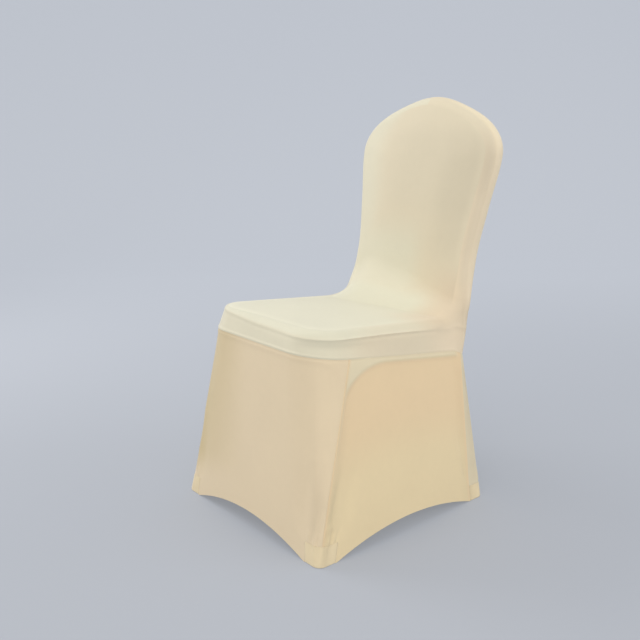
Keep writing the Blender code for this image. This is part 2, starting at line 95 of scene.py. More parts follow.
def finer(table, steps):
    """Divides each step of a table of rising shares, so that the cells' width changes smoothly."""
    table = np.asarray(table, float)
    steps = [steps] * (len(table) - 1) if isinstance(steps, int) else steps
    rise = np.diff(table)
    slope = np.concatenate([rise[:1], 2 * rise[:-1] * rise[1:] / (rise[:-1] + rise[1:]), rise[-1:]])
    shares = [table[0]]
    for k, count in enumerate(steps):
        t = np.arange(1, count + 1) / count
        shares.extend(hermite(t, table[k], table[k + 1], slope[k], slope[k + 1]))
    return np.array(shares)


FRONT_STEPS = (5, 5, 5, 5, 5, 5, 9, 4, 3, 3, 3)
SIDE_STEPS = (6, 6, 6, 7, 7, 6, 6, 6, 6, 6, 6, 5, 5, 5)
FRONT_SHARES = finer((0, .11, .22, .33, .44, .54, .64, .727, .795, .865, .932, 1), FRONT_STEPS)
SIDE_SHARES = finer((0, .031, .062, .094, .16, .25, .35, .45, .55, .65, .75, .84, .90, .95, 1), SIDE_STEPS)
CORNER_COLUMN = sum(FRONT_STEPS[:7])       # where the seat's front corner ends
TURN_ANGLES = finer((0, 30, 60, 90, 112.5, 135, 157.5, 180), 3)
SEAM_TURN = 6                              # the column of the turn that carries the side seam
WAIST_SHARES = finer((0, .25, .50, .60, .70, .80, .90, 1), 3)
REAR_SHARES = finer((0, .12, .27, .42, .56, .71, .86, 1), (6, 6, 5, 6, 5, 5, 6))
BACK_SHARES = finer((0, .022, .045, .07, .11, .17, .25, .34, .44, .54, .64, .73, .80, .86, .91, .955, 1), 6)


def arc(centre, radius, start, end, steps=FINE):
    """Points on an arc of a circle, from one angle to another in degrees."""
    turn = np.radians(np.linspace(start, end, steps + 1))
    return np.stack([centre[0] + radius * np.cos(turn), centre[1] + radius * np.sin(turn)], 1)


def unit(vectors):
    """The same directions at a length of 1."""
    return vectors / np.maximum(np.linalg.norm(vectors, axis=-1, keepdims=True), 1e-12)


def rounded(before, corner, after, radius, steps=FINE):
    """The arc that replaces a corner between two straight runs."""
    before, corner, after = (np.asarray(p, float) for p in (before, corner, after))
    u, w = unit(before - corner), unit(after - corner)
    half = math.acos(float(u @ w)) / 2
    centre = corner + unit(u + w) * radius / math.sin(half)
    first = corner + u * radius / math.tan(half) - centre
    last = corner + w * radius / math.tan(half) - centre
    swing = math.pi - 2 * half
    share = np.linspace(0, 1, steps + 1)[:, None]
    return centre + (np.sin((1 - share) * swing) * first + np.sin(share * swing) * last) / math.sin(swing)


def reach_along(points):
    """Distance of each point from the first one, along a line of points or down the columns of a grid."""
    steps = np.linalg.norm(np.diff(points, axis=0), axis=-1)
    return np.concatenate([np.zeros((1, *steps.shape[1:])), np.cumsum(steps, axis=0)])


def shares_of(line):
    """Share of a line's length at each of its points."""
    reach = reach_along(line)
    return reach / reach[-1]


def along(path, shares):
    """Points at the given shares of a path's length."""
    path = np.asarray(path, float)
    reach = shares_of(path)
    return np.stack([np.interp(shares, reach, path[:, k]) for k in range(path.shape[1])], 1)


def even(count):
    """Even shares from 0 to 1 in a number of steps."""
    return np.linspace(0, 1, count + 1)


def step(low, high, value):
    """0 below low, 1 above high, and smooth between them."""
    t = np.clip((value - low) / (high - low), 0, 1)
    return t * t * (3 - 2 * t)


def between(rise, fall, value):
    """1 between two places; it comes in over the span of the first and goes out over the second's."""
    return step(*rise, value) * (1 - step(*fall, value))


def smooth_table(table, at):
    """A smooth curve through a short table of (place, value) rows."""
    x = np.array([row[0] for row in table], float)
    y = np.array([row[1] for row in table], float)
    slope = np.gradient(y, x)
    slope[0] = 0
    k = np.clip(np.searchsorted(x, at) - 1, 0, len(x) - 2)
    run = x[k + 1] - x[k]
    t = np.clip((at - x[k]) / run, 0, 1)
    return hermite(t, y[k], y[k + 1], run * slope[k], run * slope[k + 1])


def patch(bottom, top, left, right, shares):
    """A sheet of points spanned between four edges; shares place its rows from bottom to top."""
    bottom, top, left, right = (np.asarray(e, float) for e in (bottom, top, left, right))
    u = even(len(bottom) - 1)[:, None, None]
    v = np.asarray(shares, float)[None, :, None]
    sheet = (1 - v) * bottom[:, None] + v * top[:, None] + (1 - u) * left[None] + u * right[None]
    corners = ((1 - u) * (1 - v) * bottom[0] + u * (1 - v) * bottom[-1]
               + (1 - u) * v * top[0] + u * v * top[-1])
    return sheet - corners


def level_normals(line):
    """Level direction out of the cover at each point of a line that starts in the middle of the front."""
    tangent = unit(np.gradient(line[:, :2], axis=0))
    tangent[0] = (1, 0)
    return np.stack([tangent[:, 1], -tangent[:, 0], np.zeros(len(tangent))], 1)


def seat_line(y):
    """Height of the seat's top, straight from front to rear."""
    return SEAT_EDGE_HEIGHT - (y - SEAT_FRONT_Y) * math.tan(SEAT_TILT)


def band_line(y):
    """Height of the band's lower edge."""
    share = (y - SEAT_FRONT_Y) / (WAIST_START_Y - SEAT_FRONT_Y)
    return seat_line(y) - BAND_FRONT - (BAND_REAR - BAND_FRONT) * share


def seat_outline():
    """Plan of the seat's edge: front stretch to the end of the corner, then the side."""
    straight = SEAT_HALF_FRONT - SEAT_CORNER
    corner = arc((straight, SEAT_FRONT_Y + SEAT_CORNER), SEAT_CORNER, -90, 0)
    front = np.vstack([[[0, SEAT_FRONT_Y]], corner])
    side = np.array([corner[-1], [SEAT_HALF_REAR, WAIST_START_Y]])
    return along(front, FRONT_SHARES), along(side, SIDE_SHARES)


def band_ring():
    """The line under the band and round the waist: front, side, turn and rear stretches."""
    front, side = seat_outline()
    bend = rounded((SEAT_HALF_REAR, WAIST_START_Y), (SEAT_HALF_REAR, WAIST_Y), (0, WAIST_Y), WAIST_ROUND)
    turn = along(np.vstack([side[-1:], bend]), WAIST_SHARES)
    rear = along([bend[-1], (0, WAIST_Y)], REAR_SHARES)
    fall = np.array(WAIST_SHARES)
    turn_height = band_line(WAIST_START_Y) * (1 - fall) + WAIST_Z * fall
    return [np.c_[front, band_line(front[:, 1])], np.c_[side, band_line(side[:, 1])],
            np.c_[turn, turn_height], np.c_[rear, np.full(len(rear), WAIST_Z)]]


def lean_line(z):
    """How far back the straight face of the backrest is at a height."""
    return BACK_Y + (z - seat_line(BACK_Y)) * math.tan(BACK_LEAN)


def rear_line(z):
    """The same for its rear, which the waist draws in towards the seat."""
    drawn = np.clip((REAR_DRAW_TOP - z) / (REAR_DRAW_TOP - seat_line(BACK_Y)), 0, 1)
    return lean_line(z) + BACK_DEPTH - REAR_DRAW * drawn ** 2


def sitting_profile():
    """Side view of the seat's top and the backrest's face, split halfway round the fillet."""
    start = (SEAT_FRONT_Y + SEAT_ROLL, seat_line(SEAT_FRONT_Y + SEAT_ROLL))
    joint = (BACK_Y, seat_line(BACK_Y))
    top = (lean_line(OVERALL_HEIGHT), OVERALL_HEIGHT)
    bend = rounded(start, joint, top, BACK_FILLET)
    middle = len(bend) // 2
    return np.vstack([[start], bend[:middle + 1]]), np.vstack([bend[middle:], [top]])


def back_outline(low):
    """Outline of the backrest from its foot up the side to the shoulder, and from there to the crown."""
    turn = np.radians(np.linspace(0, 90, FINE + 1))
    rise = OVERALL_HEIGHT - SHOULDER_Z
    radius = SHOULDER_HALF * rise / np.hypot(rise * np.cos(turn), SHOULDER_HALF * np.sin(turn))
    radius = radius * (1 - CROWN_FLAT * np.sin(2 * turn) ** 2)
    crown = np.stack([radius * np.cos(turn), SHOULDER_Z + radius * np.sin(turn)], 1)
    fall = np.linspace(1, 0, FINE + 1)[:-1]
    side = np.stack([smooth_table(BACK_SIDES, fall), SHOULDER_Z - (SHOULDER_Z - low) * fall], 1)
    shoulder = round(FINE * SHOULDER_ANGLE / 90)
    return (along(np.vstack([side, crown[:shoulder + 1]]), BACK_SHARES),
            along(crown[shoulder:], even(CORNER_COLUMN)))


def side_round(height):
    """Width of the rounding between the backrest's face and its side, by the height above its foot."""
    return SIDE_ROUND + (HEEL_ROUND - SIDE_ROUND) * (1 - step(0, .11, height))


def back_side(face):
    """The rounded side of the backrest: one line of points for each step of the turn."""
    side, crown = back_outline(face[0, 1])
    outline = np.vstack([side, crown[1:]])
    tangent = unit(np.gradient(outline, axis=0))
    upright = 1 - step(0, .05, outline[:, 1] - outline[0, 1])[:, None]
    tangent = tangent * (1 - upright) + np.array([0, 1]) * upright
    tangent[-1] = (-1, 0)
    outward = np.stack([tangent[:, 1], -tangent[:, 0]], 1)
    lines = []
    for angle in np.radians(TURN_ANGLES):
        inset = outline - outward * side_round(outline[:, 1] - outline[0, 1])[:, None] * (1 - math.sin(angle))
        depth = (1 - math.cos(angle)) / 2
        front_y = np.interp(inset[:, 1], face[:, 1], face[:, 0])
        y = front_y * (1 - depth) + rear_line(inset[:, 1]) * depth
        lines.append(np.c_[inset[:, 0], y, inset[:, 1]])
    return np.array(lines).swapaxes(0, 1)


# The cushion's edge by the distance round it from the middle of the front, left and right of the sitter
BAND_LEAN = {1: ((0, .0095), (.14, .0090), (.22, .0060), (.30, .0050), (.60, .0060)),
             -1: ((0, .0095), (.10, .0120), (.18, .0165), (.28, .0165), (.42, .0110), (.60, .0090))}
CREASE_DROP = {1: ((0, .0125), (.08, .0135), (.20, .0142), (.257, .0140), (.42, .0145), (.52, .0180),
                   (.60, .0230)),
               -1: ((0, .0125), (.08, .0090), (.17, .0062), (.28, .0058), (.42, .0090), (.60, .0090))}
ROLL_WIDTH = {1: ((0, .024), (.10, .026), (.45, .028), (.60, .034)),
              -1: ((0, .024), (.08, .016), (.17, .008), (.28, .007), (.42, .018), (.60, .030))}
BAND_HOLLOW = {1: ((0, 0), (.13, .0004), (.18, .0030), (.255, .0036), (.31, .0014), (.60, .0006)),
               -1: ((0, 0), (.60, .0004))}
SEAM_STRENGTH = {1: ((0, 1), (.24, 1), (.30, .45), (.60, .40)), -1: ((0, 1), (.60, .8))}
CREASE_DEPTH = {1: ((0, .30), (.08, .35), (.18, .75), (.26, 1), (.45, .9), (.50, .6), (.55, 0), (.70, 0)),
                -1: ((0, .30), (.08, .25), (.18, .05), (.30, .05), (.40, .4), (.50, .5), (.585, 0), (.70, 0))}
BAND_FOOT = (0, .0012, .0024, .0036, .0050, .0066, .0088, .0120)       # rows above the seam
BAND_HEAD = (.0100, .0074, .0056, .0042, .0030, .0020, .0011, .0004)   # and below the crease
BAND_STEPS = 7                                                         # and steps between them
FOLD_ROW = len(BAND_FOOT) + BAND_STEPS + len(BAND_HEAD) - 2            # the row in the crease
ROLL_ANGLES = (0, 8, 15, 22, 30, 38, 46, 54, 62, 71, 80, 90)


def seat_edge(outline, profile, heel, inset):
    """The inner end of the seat's rolled edge: its front stretch and its side stretch."""
    inner = (outline - level_normals(outline) * inset[:, None])[:, :2]
    side = inner[CORNER_COLUMN:].copy()
    run = (side[:, 1] - side[0, 1]) / (side[-1, 1] - side[0, 1])
    side[:, 1] = side[0, 1] + run * (heel[1] - side[0, 1])
    side[:, 0] += run ** HEEL_BEND * (heel[0] - side[-1, 0])
    height = np.interp(side[:, 1], profile[:, 0], profile[:, 1])
    height = np.where(side[:, 1] < profile[0, 0], seat_line(side[:, 1]), height)
    front = inner[:CORNER_COLUMN + 1]
    return np.c_[front, seat_line(front[:, 1])], np.c_[side, height]


def seat_sheet(front, side, profile, heel, depth):
    """The seat's top, crowned by its padding, and the line where it turns up into the backrest."""
    middle = along(profile, depth)
    middle = np.c_[np.zeros(len(middle)), middle]
    middle[0] = front[0]
    across = even(CORNER_COLUMN)[:, None]
    joint = middle[-1] * (1 - across) + heel * across
    seat = patch(front, joint, middle, side, depth)
    swell = np.sin(math.pi * depth[None]) ** np.where(depth > .5, 2.0, CROWN_FULLNESS)
    seat[..., 2] += SEAT_CROWN * (1 - across ** 2) * swell
    return seat.swapaxes(0, 1), joint


def band_sheet(outline, top_line, lean, drop, crease):
    """The band, up from its seam to the crease, and the cushion's edge that rolls over above it."""
    inward = (top_line - outline) * (1, 1, 0)
    reach = np.linalg.norm(inward, axis=1)[:, None]
    fold = outline + inward * np.minimum(lean[:, None] / reach, 0.7)
    fold[:, 2] = top_line[:, 2] - drop
    tall = fold[:, 2] - outline[:, 2]
    lifts = [lift + 0 * tall for lift in BAND_FOOT]
    between = tall - BAND_FOOT[-1] - BAND_HEAD[0]
    lifts += [BAND_FOOT[-1] + share * between for share in even(BAND_STEPS)[1:]]
    lifts += [tall - down for down in BAND_HEAD[1:]]
    rows = []
    for lift in lifts:
        share = (lift / tall)[:, None]
        row = outline * (1 - share) + fold * share
        row[:, 2] = outline[:, 2] + lift
        rows.append(row)
    for angle in np.radians(ROLL_ANGLES):
        in_share = 1 - math.cos(angle)
        row = fold + (top_line - fold) * in_share
        sharp = 1 - math.cos(angle) ** 2.2
        row[:, 2] = fold[:, 2] + drop * (crease * sharp + (1 - crease) * math.sin(angle))
        rows.append(row)
    return np.array(rows)


def neck_sheets(waist_turn, waist_rear, band, turn):
    """The cloth from the waist up to the backrest's foot: round the side, and across the rear."""
    lift = shares_of(band[:, -1])[:, None, None]
    side = waist_turn[None] * (1 - lift) + turn[0][None] * lift
    swell = band[:, -1] - side[:, 0]
    side += swell[:, None] * (1 - even(len(TURN_ANGLES) - 1)[None, :, None]) ** 2
    heel_rear = turn[0, -1]
    across = np.array(REAR_SHARES)[:, None]
    rear_foot = heel_rear * (1 - across) + heel_rear * (0, 1, 1) * across
    lift = lift * (1 - across[None]) + even(len(lift) - 1)[:, None, None] * across[None]
    rear = waist_rear[None] * (1 - lift) + rear_foot[None] * lift
    rear[:, 0] = side[:, -1]
    return side, rear


def back_sheets(face, joint, turn, rear_foot):
    """The padded face of the backrest and its flat rear, both spanned inside the rounded side."""
    rows = np.array(BACK_SHARES)
    last = len(rows) - 1
    face_top = turn[last:, 0][::-1]
    face = np.vstack([face[:-1], face_top[0, 1:]])
    face_middle = np.c_[np.zeros(len(rows)), along(face, rows)]
    front = patch(joint, face_top, face_middle, turn[:last + 1, 0], rows)
    rear_top = turn[last:, -1][::-1]
    height = rear_foot[0, 2] + (rear_top[0, 2] - rear_foot[0, 2]) * rows
    rear_middle = np.stack([np.zeros(len(rows)), rear_line(height), height], 1)
    rear = patch(rear_foot[::-1], rear_top, rear_middle, turn[:last + 1, -1], rows)
    return front.swapaxes(0, 1), rear[::-1].swapaxes(0, 1)


def waist_ease(points):
    """How the cloth bridges the bend at the waist, across the rear but not round its corners."""
    near = np.clip(1 - np.abs(points[..., 2] - WAIST_Z) / WAIST_EASE_SPAN, 0, 1) ** 2
    ease = WAIST_EASE * near * (1 - step(.12, SEAT_HALF_REAR - WAIST_ROUND, np.abs(points[..., 0])))
    return (ease * (points[..., 1] > WAIST_START_Y))[..., None] * np.array([0.0, 1.0, 0.0])


def outward(grid):
    """Unit normals of a grid whose rows rise and whose columns run round from the middle of the front."""
    return unit(np.cross(np.gradient(grid, axis=1), np.gradient(grid, axis=0)))


def bump(distance, centre, width):
    """A soft ridge, 1 high, at a distance."""
    return np.exp(-((distance - centre) / width) ** 2)


CORD_HEIGHT = 0.0006         # the cushion's corded edge, which shows through the cloth
CORD_WIDTH = 0.0018
CORD_SHADOW = 0.0008         # the hollow under it
SEAM_RIDGE = 0.0008          # the seam allowance, turned up inside, lifts the band above its seam


def band_relief(band, crease, hollow, strength):
    """How far the band stands off its plain shape: the cord at the crease, a hollow, the seam's ridge."""
    up = reach_along(band)
    from_fold = up - up[FOLD_ROW]
    cord = CORD_HEIGHT * bump(from_fold, 0, CORD_WIDTH) - CORD_SHADOW * bump(from_fold, -.0052, .0030)
    seam = SEAM_RIDGE * bump(up, .0034, .0022)
    share = np.clip(up / up[FOLD_ROW], 0, 1)
    sunk = np.sin(math.pi * share ** 1.3) ** 2 * (share < 1)
    return crease * cord + strength * seam - hollow * sunk


PAD_ROLL = 0.170             # width over which it swells
PAD_FOOT = 0.24              # height over which the pad comes out of the fillet


def pad_swell(inside, height, foot):
    """How far the backrest's padding lifts the cloth, by the distance inside the backrest's outline."""
    roll = 1 - (1 - np.clip(inside / PAD_ROLL, 0, 1)) ** 2.2
    return BACK_PAD * roll * step(foot - 0.01, foot + PAD_FOOT, height)


# Radius of the cloth where it turns up from the seat into the backrest, by the place across the seat: it
# lies close in the corner on the sitter's left, and is pulled off it towards the right
CORNER_FILL = ((-.20, .068), (-.185, .078), (-.13, .125), (-.06, .122), (.02, .098), (.10, .068), (.16, .050),
               (.20, .048))


def corner_lift(points, mirror):
    """How the cloth is pulled off the corner between the seat and the backrest."""
    radius = smooth_table(CORNER_FILL, points[..., 0] * mirror)
    corner = np.array([BACK_Y, seat_line(BACK_Y)])
    forth = np.array([-math.cos(SEAT_TILT), math.sin(SEAT_TILT)])
    up = np.array([math.sin(BACK_LEAN), math.cos(BACK_LEAN)])
    half = math.acos(float(forth @ up)) / 2
    middle = unit(forth + up)
    near = corner + middle * BACK_FILLET / math.sin(half)
    far = corner + middle * (radius / math.sin(half))[..., None]
    here = points[..., 1:]
    on_seat, on_back = (here - corner) @ forth, (here - corner) @ up
    way = unit(near - here)
    tangent = BACK_FILLET / math.tan(half)
    way = np.where((on_seat > tangent)[..., None], (math.sin(SEAT_TILT), math.cos(SEAT_TILT)), way)
    way = np.where((on_back > tangent)[..., None], (-math.cos(BACK_LEAN), math.sin(BACK_LEAN)), way)
    along_way = ((here - far) * way).sum(axis=-1)
    inside = along_way ** 2 - ((here - far) ** 2).sum(axis=-1) + radius ** 2
    lift = -along_way - np.sqrt(np.clip(inside, 0, None))
    reached = np.maximum(on_seat, on_back) < radius / math.tan(half)
    lift = np.where(reached, np.clip(lift, 0, None), 0)
    return np.concatenate([np.zeros(lift.shape + (1,)), way * lift[..., None]], axis=-1)


def distance_to(points, outline):
    """Distance from each (x, z) point to a dense outline."""
    flat = points.reshape(-1, 2)
    best = np.full(len(flat), 9.0)
    for start in range(0, len(outline), 64):
        some = outline[start:start + 64]
        best = np.minimum(best, np.linalg.norm(flat[:, None] - some[None], axis=2).min(axis=1))
    return best.reshape(points.shape[:-1])


SAME_PLACE = 2e-5            # points closer together than this are one


def shared_places(points):
    """Finds the points that share a place: the first point of each place, and the place of each point."""
    tree = kdtree.KDTree(len(points))
    for k, point in enumerate(points):
        tree.insert(point, k)
    tree.balance()
    first = [min(hit[1] for hit in tree.find_range(point, SAME_PLACE)) for point in points]
    return np.unique(first, return_inverse=True)


def total_at(place, values):
    """The sum of the values, three to a row, at each place."""
    return np.stack([np.bincount(place, values[:, k]) for k in range(3)], 1)


HEEL_EVEN = 0.052            # how far round the backrest's heel the bends of the cloth run into each other
HEEL_ROUNDS = 100            # how often each point is drawn towards its neighbours
HEEL_PULL = 0.6              # and how far each time
HEEL_FROM_SEAM = 0.020       # the height over which it starts above the band's seam
NEAREST = 2e-4               # neighbours closer than this pull no harder


def evened(sheets, placed, middle):
    """Evens out the cloth round one place, where several of its bends meet, over all the sheets at once."""
    base = np.vstack([grid.reshape(-1, 3) for grid in sheets.values()])
    spots = np.vstack([placed[name].reshape(-1, 3) for name in sheets])
    near = np.flatnonzero(np.linalg.norm(base - middle, axis=1) < HEEL_EVEN)
    kept, place = shared_places(base[near])
    number = np.full(len(base), -1)
    number[near] = place
    pairs, first = [], 0
    for grid in sheets.values():
        index = number[first:first + grid[..., 0].size].reshape(grid.shape[:2])
        for one, other in ((index[:-1], index[1:]), (index[:, :-1], index[:, 1:])):
            pairs.append(np.stack([one.ravel(), other.ravel()], 1))
        first += grid[..., 0].size
    pairs = np.unique(np.sort(np.vstack(pairs), axis=1), axis=0)
    pairs = pairs[(pairs[:, 0] >= 0) & (pairs[:, 0] != pairs[:, 1])]
    line = total_at(place, spots[near]) / np.bincount(place)[:, None]
    here = base[near][kept]
    held = (1 - (np.linalg.norm(here - middle, axis=1) / HEEL_EVEN) ** 2)[:, None] ** 2
    held = held * step(0, HEEL_FROM_SEAM, here[:, 2:] - band_line(WAIST_START_Y))
    apart = np.linalg.norm(line[pairs[:, 0]] - line[pairs[:, 1]], axis=1)
    pull = np.tile(1 / np.maximum(apart, NEAREST), 2)[:, None]
    start, end = np.vstack([pairs, pairs[:, ::-1]]).T
    total = np.bincount(start, pull[:, 0], len(line))[:, None]
    for _ in range(HEEL_ROUNDS):
        line = line + HEEL_PULL * held * (total_at(start, pull * line[end]) / total - line)
    spots[near] = line[place]
    first = 0
    for name, grid in sheets.items():
        placed[name] = spots[first:first + grid[..., 0].size].reshape(grid.shape)
        first += grid[..., 0].size


def painted_shades(sheets, placed, reach, top_line, mirror):
    """Painted light and shade on the upper cloth: how much lighter or darker it is drawn, and how much
    of the paler, lit cream and of the deeper, shaded cream it takes.

    Painted light makes it palest where it faces up and catches the light: level over the seat, round the
    cushion's edge and down the right of the backrest. Down the backrest's left and at its left heel it is
    drawn in painted shade.
    """
    # Painted light: the cloth that faces up is drawn in the paler, lit cream, as where light falls on it
    paler = {name: step(.25, .85, outward(grid)[..., 2]) * (1 - step(.583, .643, grid[..., 2]))
             for name, grid in placed.items()}
    tone = {name: np.zeros(grid.shape[:2]) for name, grid in sheets.items()}
    deeper = {name: np.zeros(grid.shape[:2]) for name, grid in sheets.items()}
    back, turn, seat, band = (sheets[name] for name in ("back", "turn", "seat", "band"))
    z = back[..., 2]
    share = back[..., 0] / np.maximum(back[:, -1:, 0], .01)
    high = between((.50, .62), (.80, .90), z)
    middle = -0.4 * between((.64, .70), (.84, .90), z)
    low = 0.7 * (1 - step(.57, .68, z))
    turned = step(45, 75, TURN_ANGLES)[None]
    side_low = between((.42, .50), (.70, .80), turn[..., 2])
    side_top = between((.70, .80), (.84, .90), turn[..., 2])
    # Painted highlight along the seat's edge, where it rolls over into the band
    near_edge = 1 - step(0, .03, distance_to(seat[..., :2], top_line[:, :2]))
    tone["seat"] = (0.6 - 0.15 * mirror * step(0, .08, seat[..., 0])) * near_edge
    # Painted light on the front of the band, and deeper painted shade towards its rear
    paler["band"] = np.maximum(paler["band"], 0.6 * (1 - step(.20, .32, reach)))
    deeper["band"] += 0.3 * step(.26, .36, reach)
    near_heel = step(.44, .60, reach)
    rolled = step(-.016 - .026 * near_heel, -.006 + .006 * near_heel, band[..., 2] - band[-1:, :, 2])
    # On this half the backrest is drawn with painted shade across its middle and a painted highlight along
    # its edge, its side in painted light and shade, and its heel in painted warm shade; the other half takes
    # more painted light.
    if mirror > 0:
        tone["back"] = middle + (0.9 * step(.88, 1.03, share) - 0.45 * step(.3, .65, share)) * high
        tone["turn"] = (side_low + 0.1 * side_top) * (1 - turned)
        tone["turn"] += 1.2 * turned * step(.44, .50, turn[..., 2])
        tone["band"] = (0.4 + rolled * (0.3 * step(.26, .36, reach) - 0.5)
                        + (0.3 * step(.20, .30, reach) + 1.3 * step(.46, .66, reach)) * (1 - rolled))
        deeper["turn"] = 0.7 * between((.44, .52), (.80, .90), turn[..., 2])
        paler["back"] = np.maximum(paler["back"], low * (1 - step(0, .08, back[..., 0])))
        # Painted warm shade at the heel: drawn in the deeper cream and darker, with the lit cream taken out
        for name in ("seat", "band", "back", "turn", "neck"):
            x, y, z = np.moveaxis(sheets[name], -1, 0)
            heel = step(.02, .20, y) * step(.06, .17, x) * (1 - step(.50, .58, z))
            paler[name] = paler[name] * (1 - heel)
            deeper[name] = np.maximum(deeper[name], heel)
            if name == "band":
                heel = heel * rolled
            if name != "turn":
                tone[name] = tone[name] * (1 - heel) - 0.2 * heel
        tone["neck"] = tone["band"][:, -1:] * (1 - 0.4 * step(60, 120, TURN_ANGLES))[None]
        above_neck = step(.456, .500, turn[..., 2])
        tone["turn"] = tone["neck"][-1:] * (1 - above_neck) + tone["turn"] * above_neck
    else:
        tone["back"] = middle * (1 - step(.1, .7, share)) + 0.3 * step(.35, .80, share) * high
        tone["turn"] = 0.3 * side_low * (1 - turned)
        tone["band"] = 0.4 - 0.6 * rolled
        paler["back"] = np.maximum(np.maximum(paler["back"], 0.6 * step(.45, .90, share)), low)
        paler["turn"] = np.maximum(paler["turn"], 0.6 * (1 - turned))
    from_crown = step(.01, .11, turn[..., 0])
    tone["turn"], deeper["turn"] = tone["turn"] * from_crown, deeper["turn"] * from_crown
    return {name: {"tone": tone[name], "paler": paler[name], "deeper": deeper[name]} for name in sheets}


def sided(mirror, base, placed, out, **more):
    """A sheet of the cover's left or right half: its plain points, its placed points and its normals."""
    side = (mirror, 1, 1)
    return {"mirror": mirror, "base": base * side, "placed": placed * side, "out": out * side, **more}


def joined(stretches):
    """One line from stretches that share their end points."""
    return np.vstack([stretches[0]] + [part[1:] for part in stretches[1:]])


def cut(sheet, rows=slice(None), columns=slice(None)):
    """Part of a sheet: the rows and columns of its points that one panel takes."""
    return {key: value if key == "mirror" else value[rows, columns] for key, value in sheet.items()}


def upper_half(mirror):
    """The cloth above the band's seam and the waist over the +X half: sheets of points, and their relief."""
    ring = band_ring()
    outline = joined(ring[:2])
    reach = reach_along(outline)
    lean, width, drop, crease, hollow, strength = (
        smooth_table(table[mirror], reach)
        for table in (BAND_LEAN, ROLL_WIDTH, CREASE_DROP, CREASE_DEPTH, BAND_HOLLOW, SEAM_STRENGTH))
    profile, face = sitting_profile()
    turn = back_side(face)
    heel = turn[0, 0]
    front, side = seat_edge(outline, profile, heel, lean + width)
    plain = seat_edge(outline, profile, heel, np.full(len(outline), SEAT_ROLL))
    seat, joint = seat_sheet(front, side, profile, heel, shares_of(plain[1]))
    band = band_sheet(outline, joined([front, side]), lean, drop, crease)
    neck, rear_low = neck_sheets(ring[2], ring[3], band, turn)
    back, rear = back_sheets(face, joint, turn, rear_low[-1])
    side_line, crown_line = back_outline(face[0, 1])
    edge = np.vstack([side_line, crown_line])
    edge = np.vstack([edge, edge[::-1] * (-1, 1)])
    foot = joint[0, 2]
    facing = np.array([0, -math.cos(BACK_LEAN), math.sin(BACK_LEAN)])
    turn_round = side_round(np.vstack([side_line, crown_line[1:]])[:, 1] - side_line[0, 1])[:, None]
    inset = turn_round * (1 - np.sin(np.radians(np.minimum(TURN_ANGLES, 90))))[None]
    rear_full = np.sin(np.radians(np.clip(TURN_ANGLES - 45, 0, 180) * 180 / 135)) ** 2
    rear_full = REAR_FULL * np.where(TURN_ANGLES > 120, 1, rear_full)[None]
    rear_full = rear_full * step(foot, foot + REAR_FULL_RISE, turn[..., 2])
    ridges = band_relief(band, crease, hollow, strength)
    above_fold = np.clip((np.arange(len(band)) - FOLD_ROW) / (len(band) - 1 - FOLD_ROW), 0, 1)
    roll_share = above_fold[:, None, None] ** 2
    front_share = np.cos(np.radians(np.minimum(TURN_ANGLES, 90)))[None, :, None] ** 2
    moves = {
        "band": outward(band) * ridges[..., None] + corner_lift(band[-1:], mirror) * roll_share,
        "neck": corner_lift(turn[:1, :1], mirror) * roll_share * front_share,
        "seat": corner_lift(seat, mirror),
        "back": (facing * pad_swell(distance_to(back[..., ::2], edge), back[..., 2], foot)[..., None]
                 + corner_lift(back, mirror)),
        "turn": (facing * pad_swell(inset, turn[..., 2], foot)[..., None]
                 - facing * rear_full[..., None] + corner_lift(turn[:, :1], mirror) * front_share),
        "rear_low": waist_ease(rear_low),
        "rear": -facing * REAR_FULL * step(foot, foot + REAR_FULL_RISE, rear[..., 2])[..., None],
    }
    sheets = {"band": band, "seat": seat, "back": back, "neck": neck, "turn": turn, "rear_low": rear_low,
              "rear": rear}
    normals = {name: outward(grid) for name, grid in sheets.items()}
    placed = {name: grid + moves[name] for name, grid in sheets.items()}
    evened(sheets, placed, band[FOLD_ROW, -1])
    # Painted light and shade over the upper cloth
    shades = painted_shades(sheets, placed, reach, joined([front, side]), mirror)
    normals["band"][0] = level_normals(joined(ring[:2]))
    normals["neck"][0] = level_normals(joined(ring))[len(outline) - 1:len(outline) - 1 + len(ring[2])]
    normals["rear_low"][0] = (0, 1, 0)
    return {name: sided(mirror, grid, placed[name], normals[name], **shades[name])
            for name, grid in sheets.items()}


# A seam's edge turns in and stands up inside as the allowance; a hem's edge is a plain fold.
# Each row: distance in from the edge, depth under the surface, in millimetres.
SEAM_EDGE = ((.34, 0), (.19, .02), (.09, .07), (.05, .20), (.05, 5.0), (.50, 5.3), (.90, 5.0), (.90, 1.5),
             (1.4, 1.0))
HEM_EDGE = ((.60, 0), (.32, .07), (.10, .30), (0, .70), (0, 1.3), (.10, 1.7), (.32, 1.93), (.60, 2.0),
            (1.1, 2.0))
HEM_TURNED = 0.012           # how much of the hem is turned up inside, in a second layer
NO_HEM = 9.0                 # the height above the hem of a sheet that has none


def cells(parts):
    """The four corners of each cell of the parts, whose points are numbered through all of them."""
    quads, first = [], 0
    for part in parts:
        rows, columns = part["base"].shape[:2]
        index = first + np.arange(rows * columns).reshape(rows, columns)
        quad = np.stack([index[:-1, :-1], index[:-1, 1:], index[1:, 1:], index[1:, :-1]], 2).reshape(-1, 4)
        quads.append(quad[:, ::-1] if part["mirror"] < 0 else quad)
        first += rows * columns
    return np.vstack(quads)


def border_of(quads, size):
    """The edges that only one cell has."""
    edges = np.vstack([quads[:, [k, (k + 1) % 4]] for k in range(4)])
    there = set((edges[:, 0] * size + edges[:, 1]).tolist())
    return [(a, b) for a, b in edges.tolist() if b * size + a not in there]


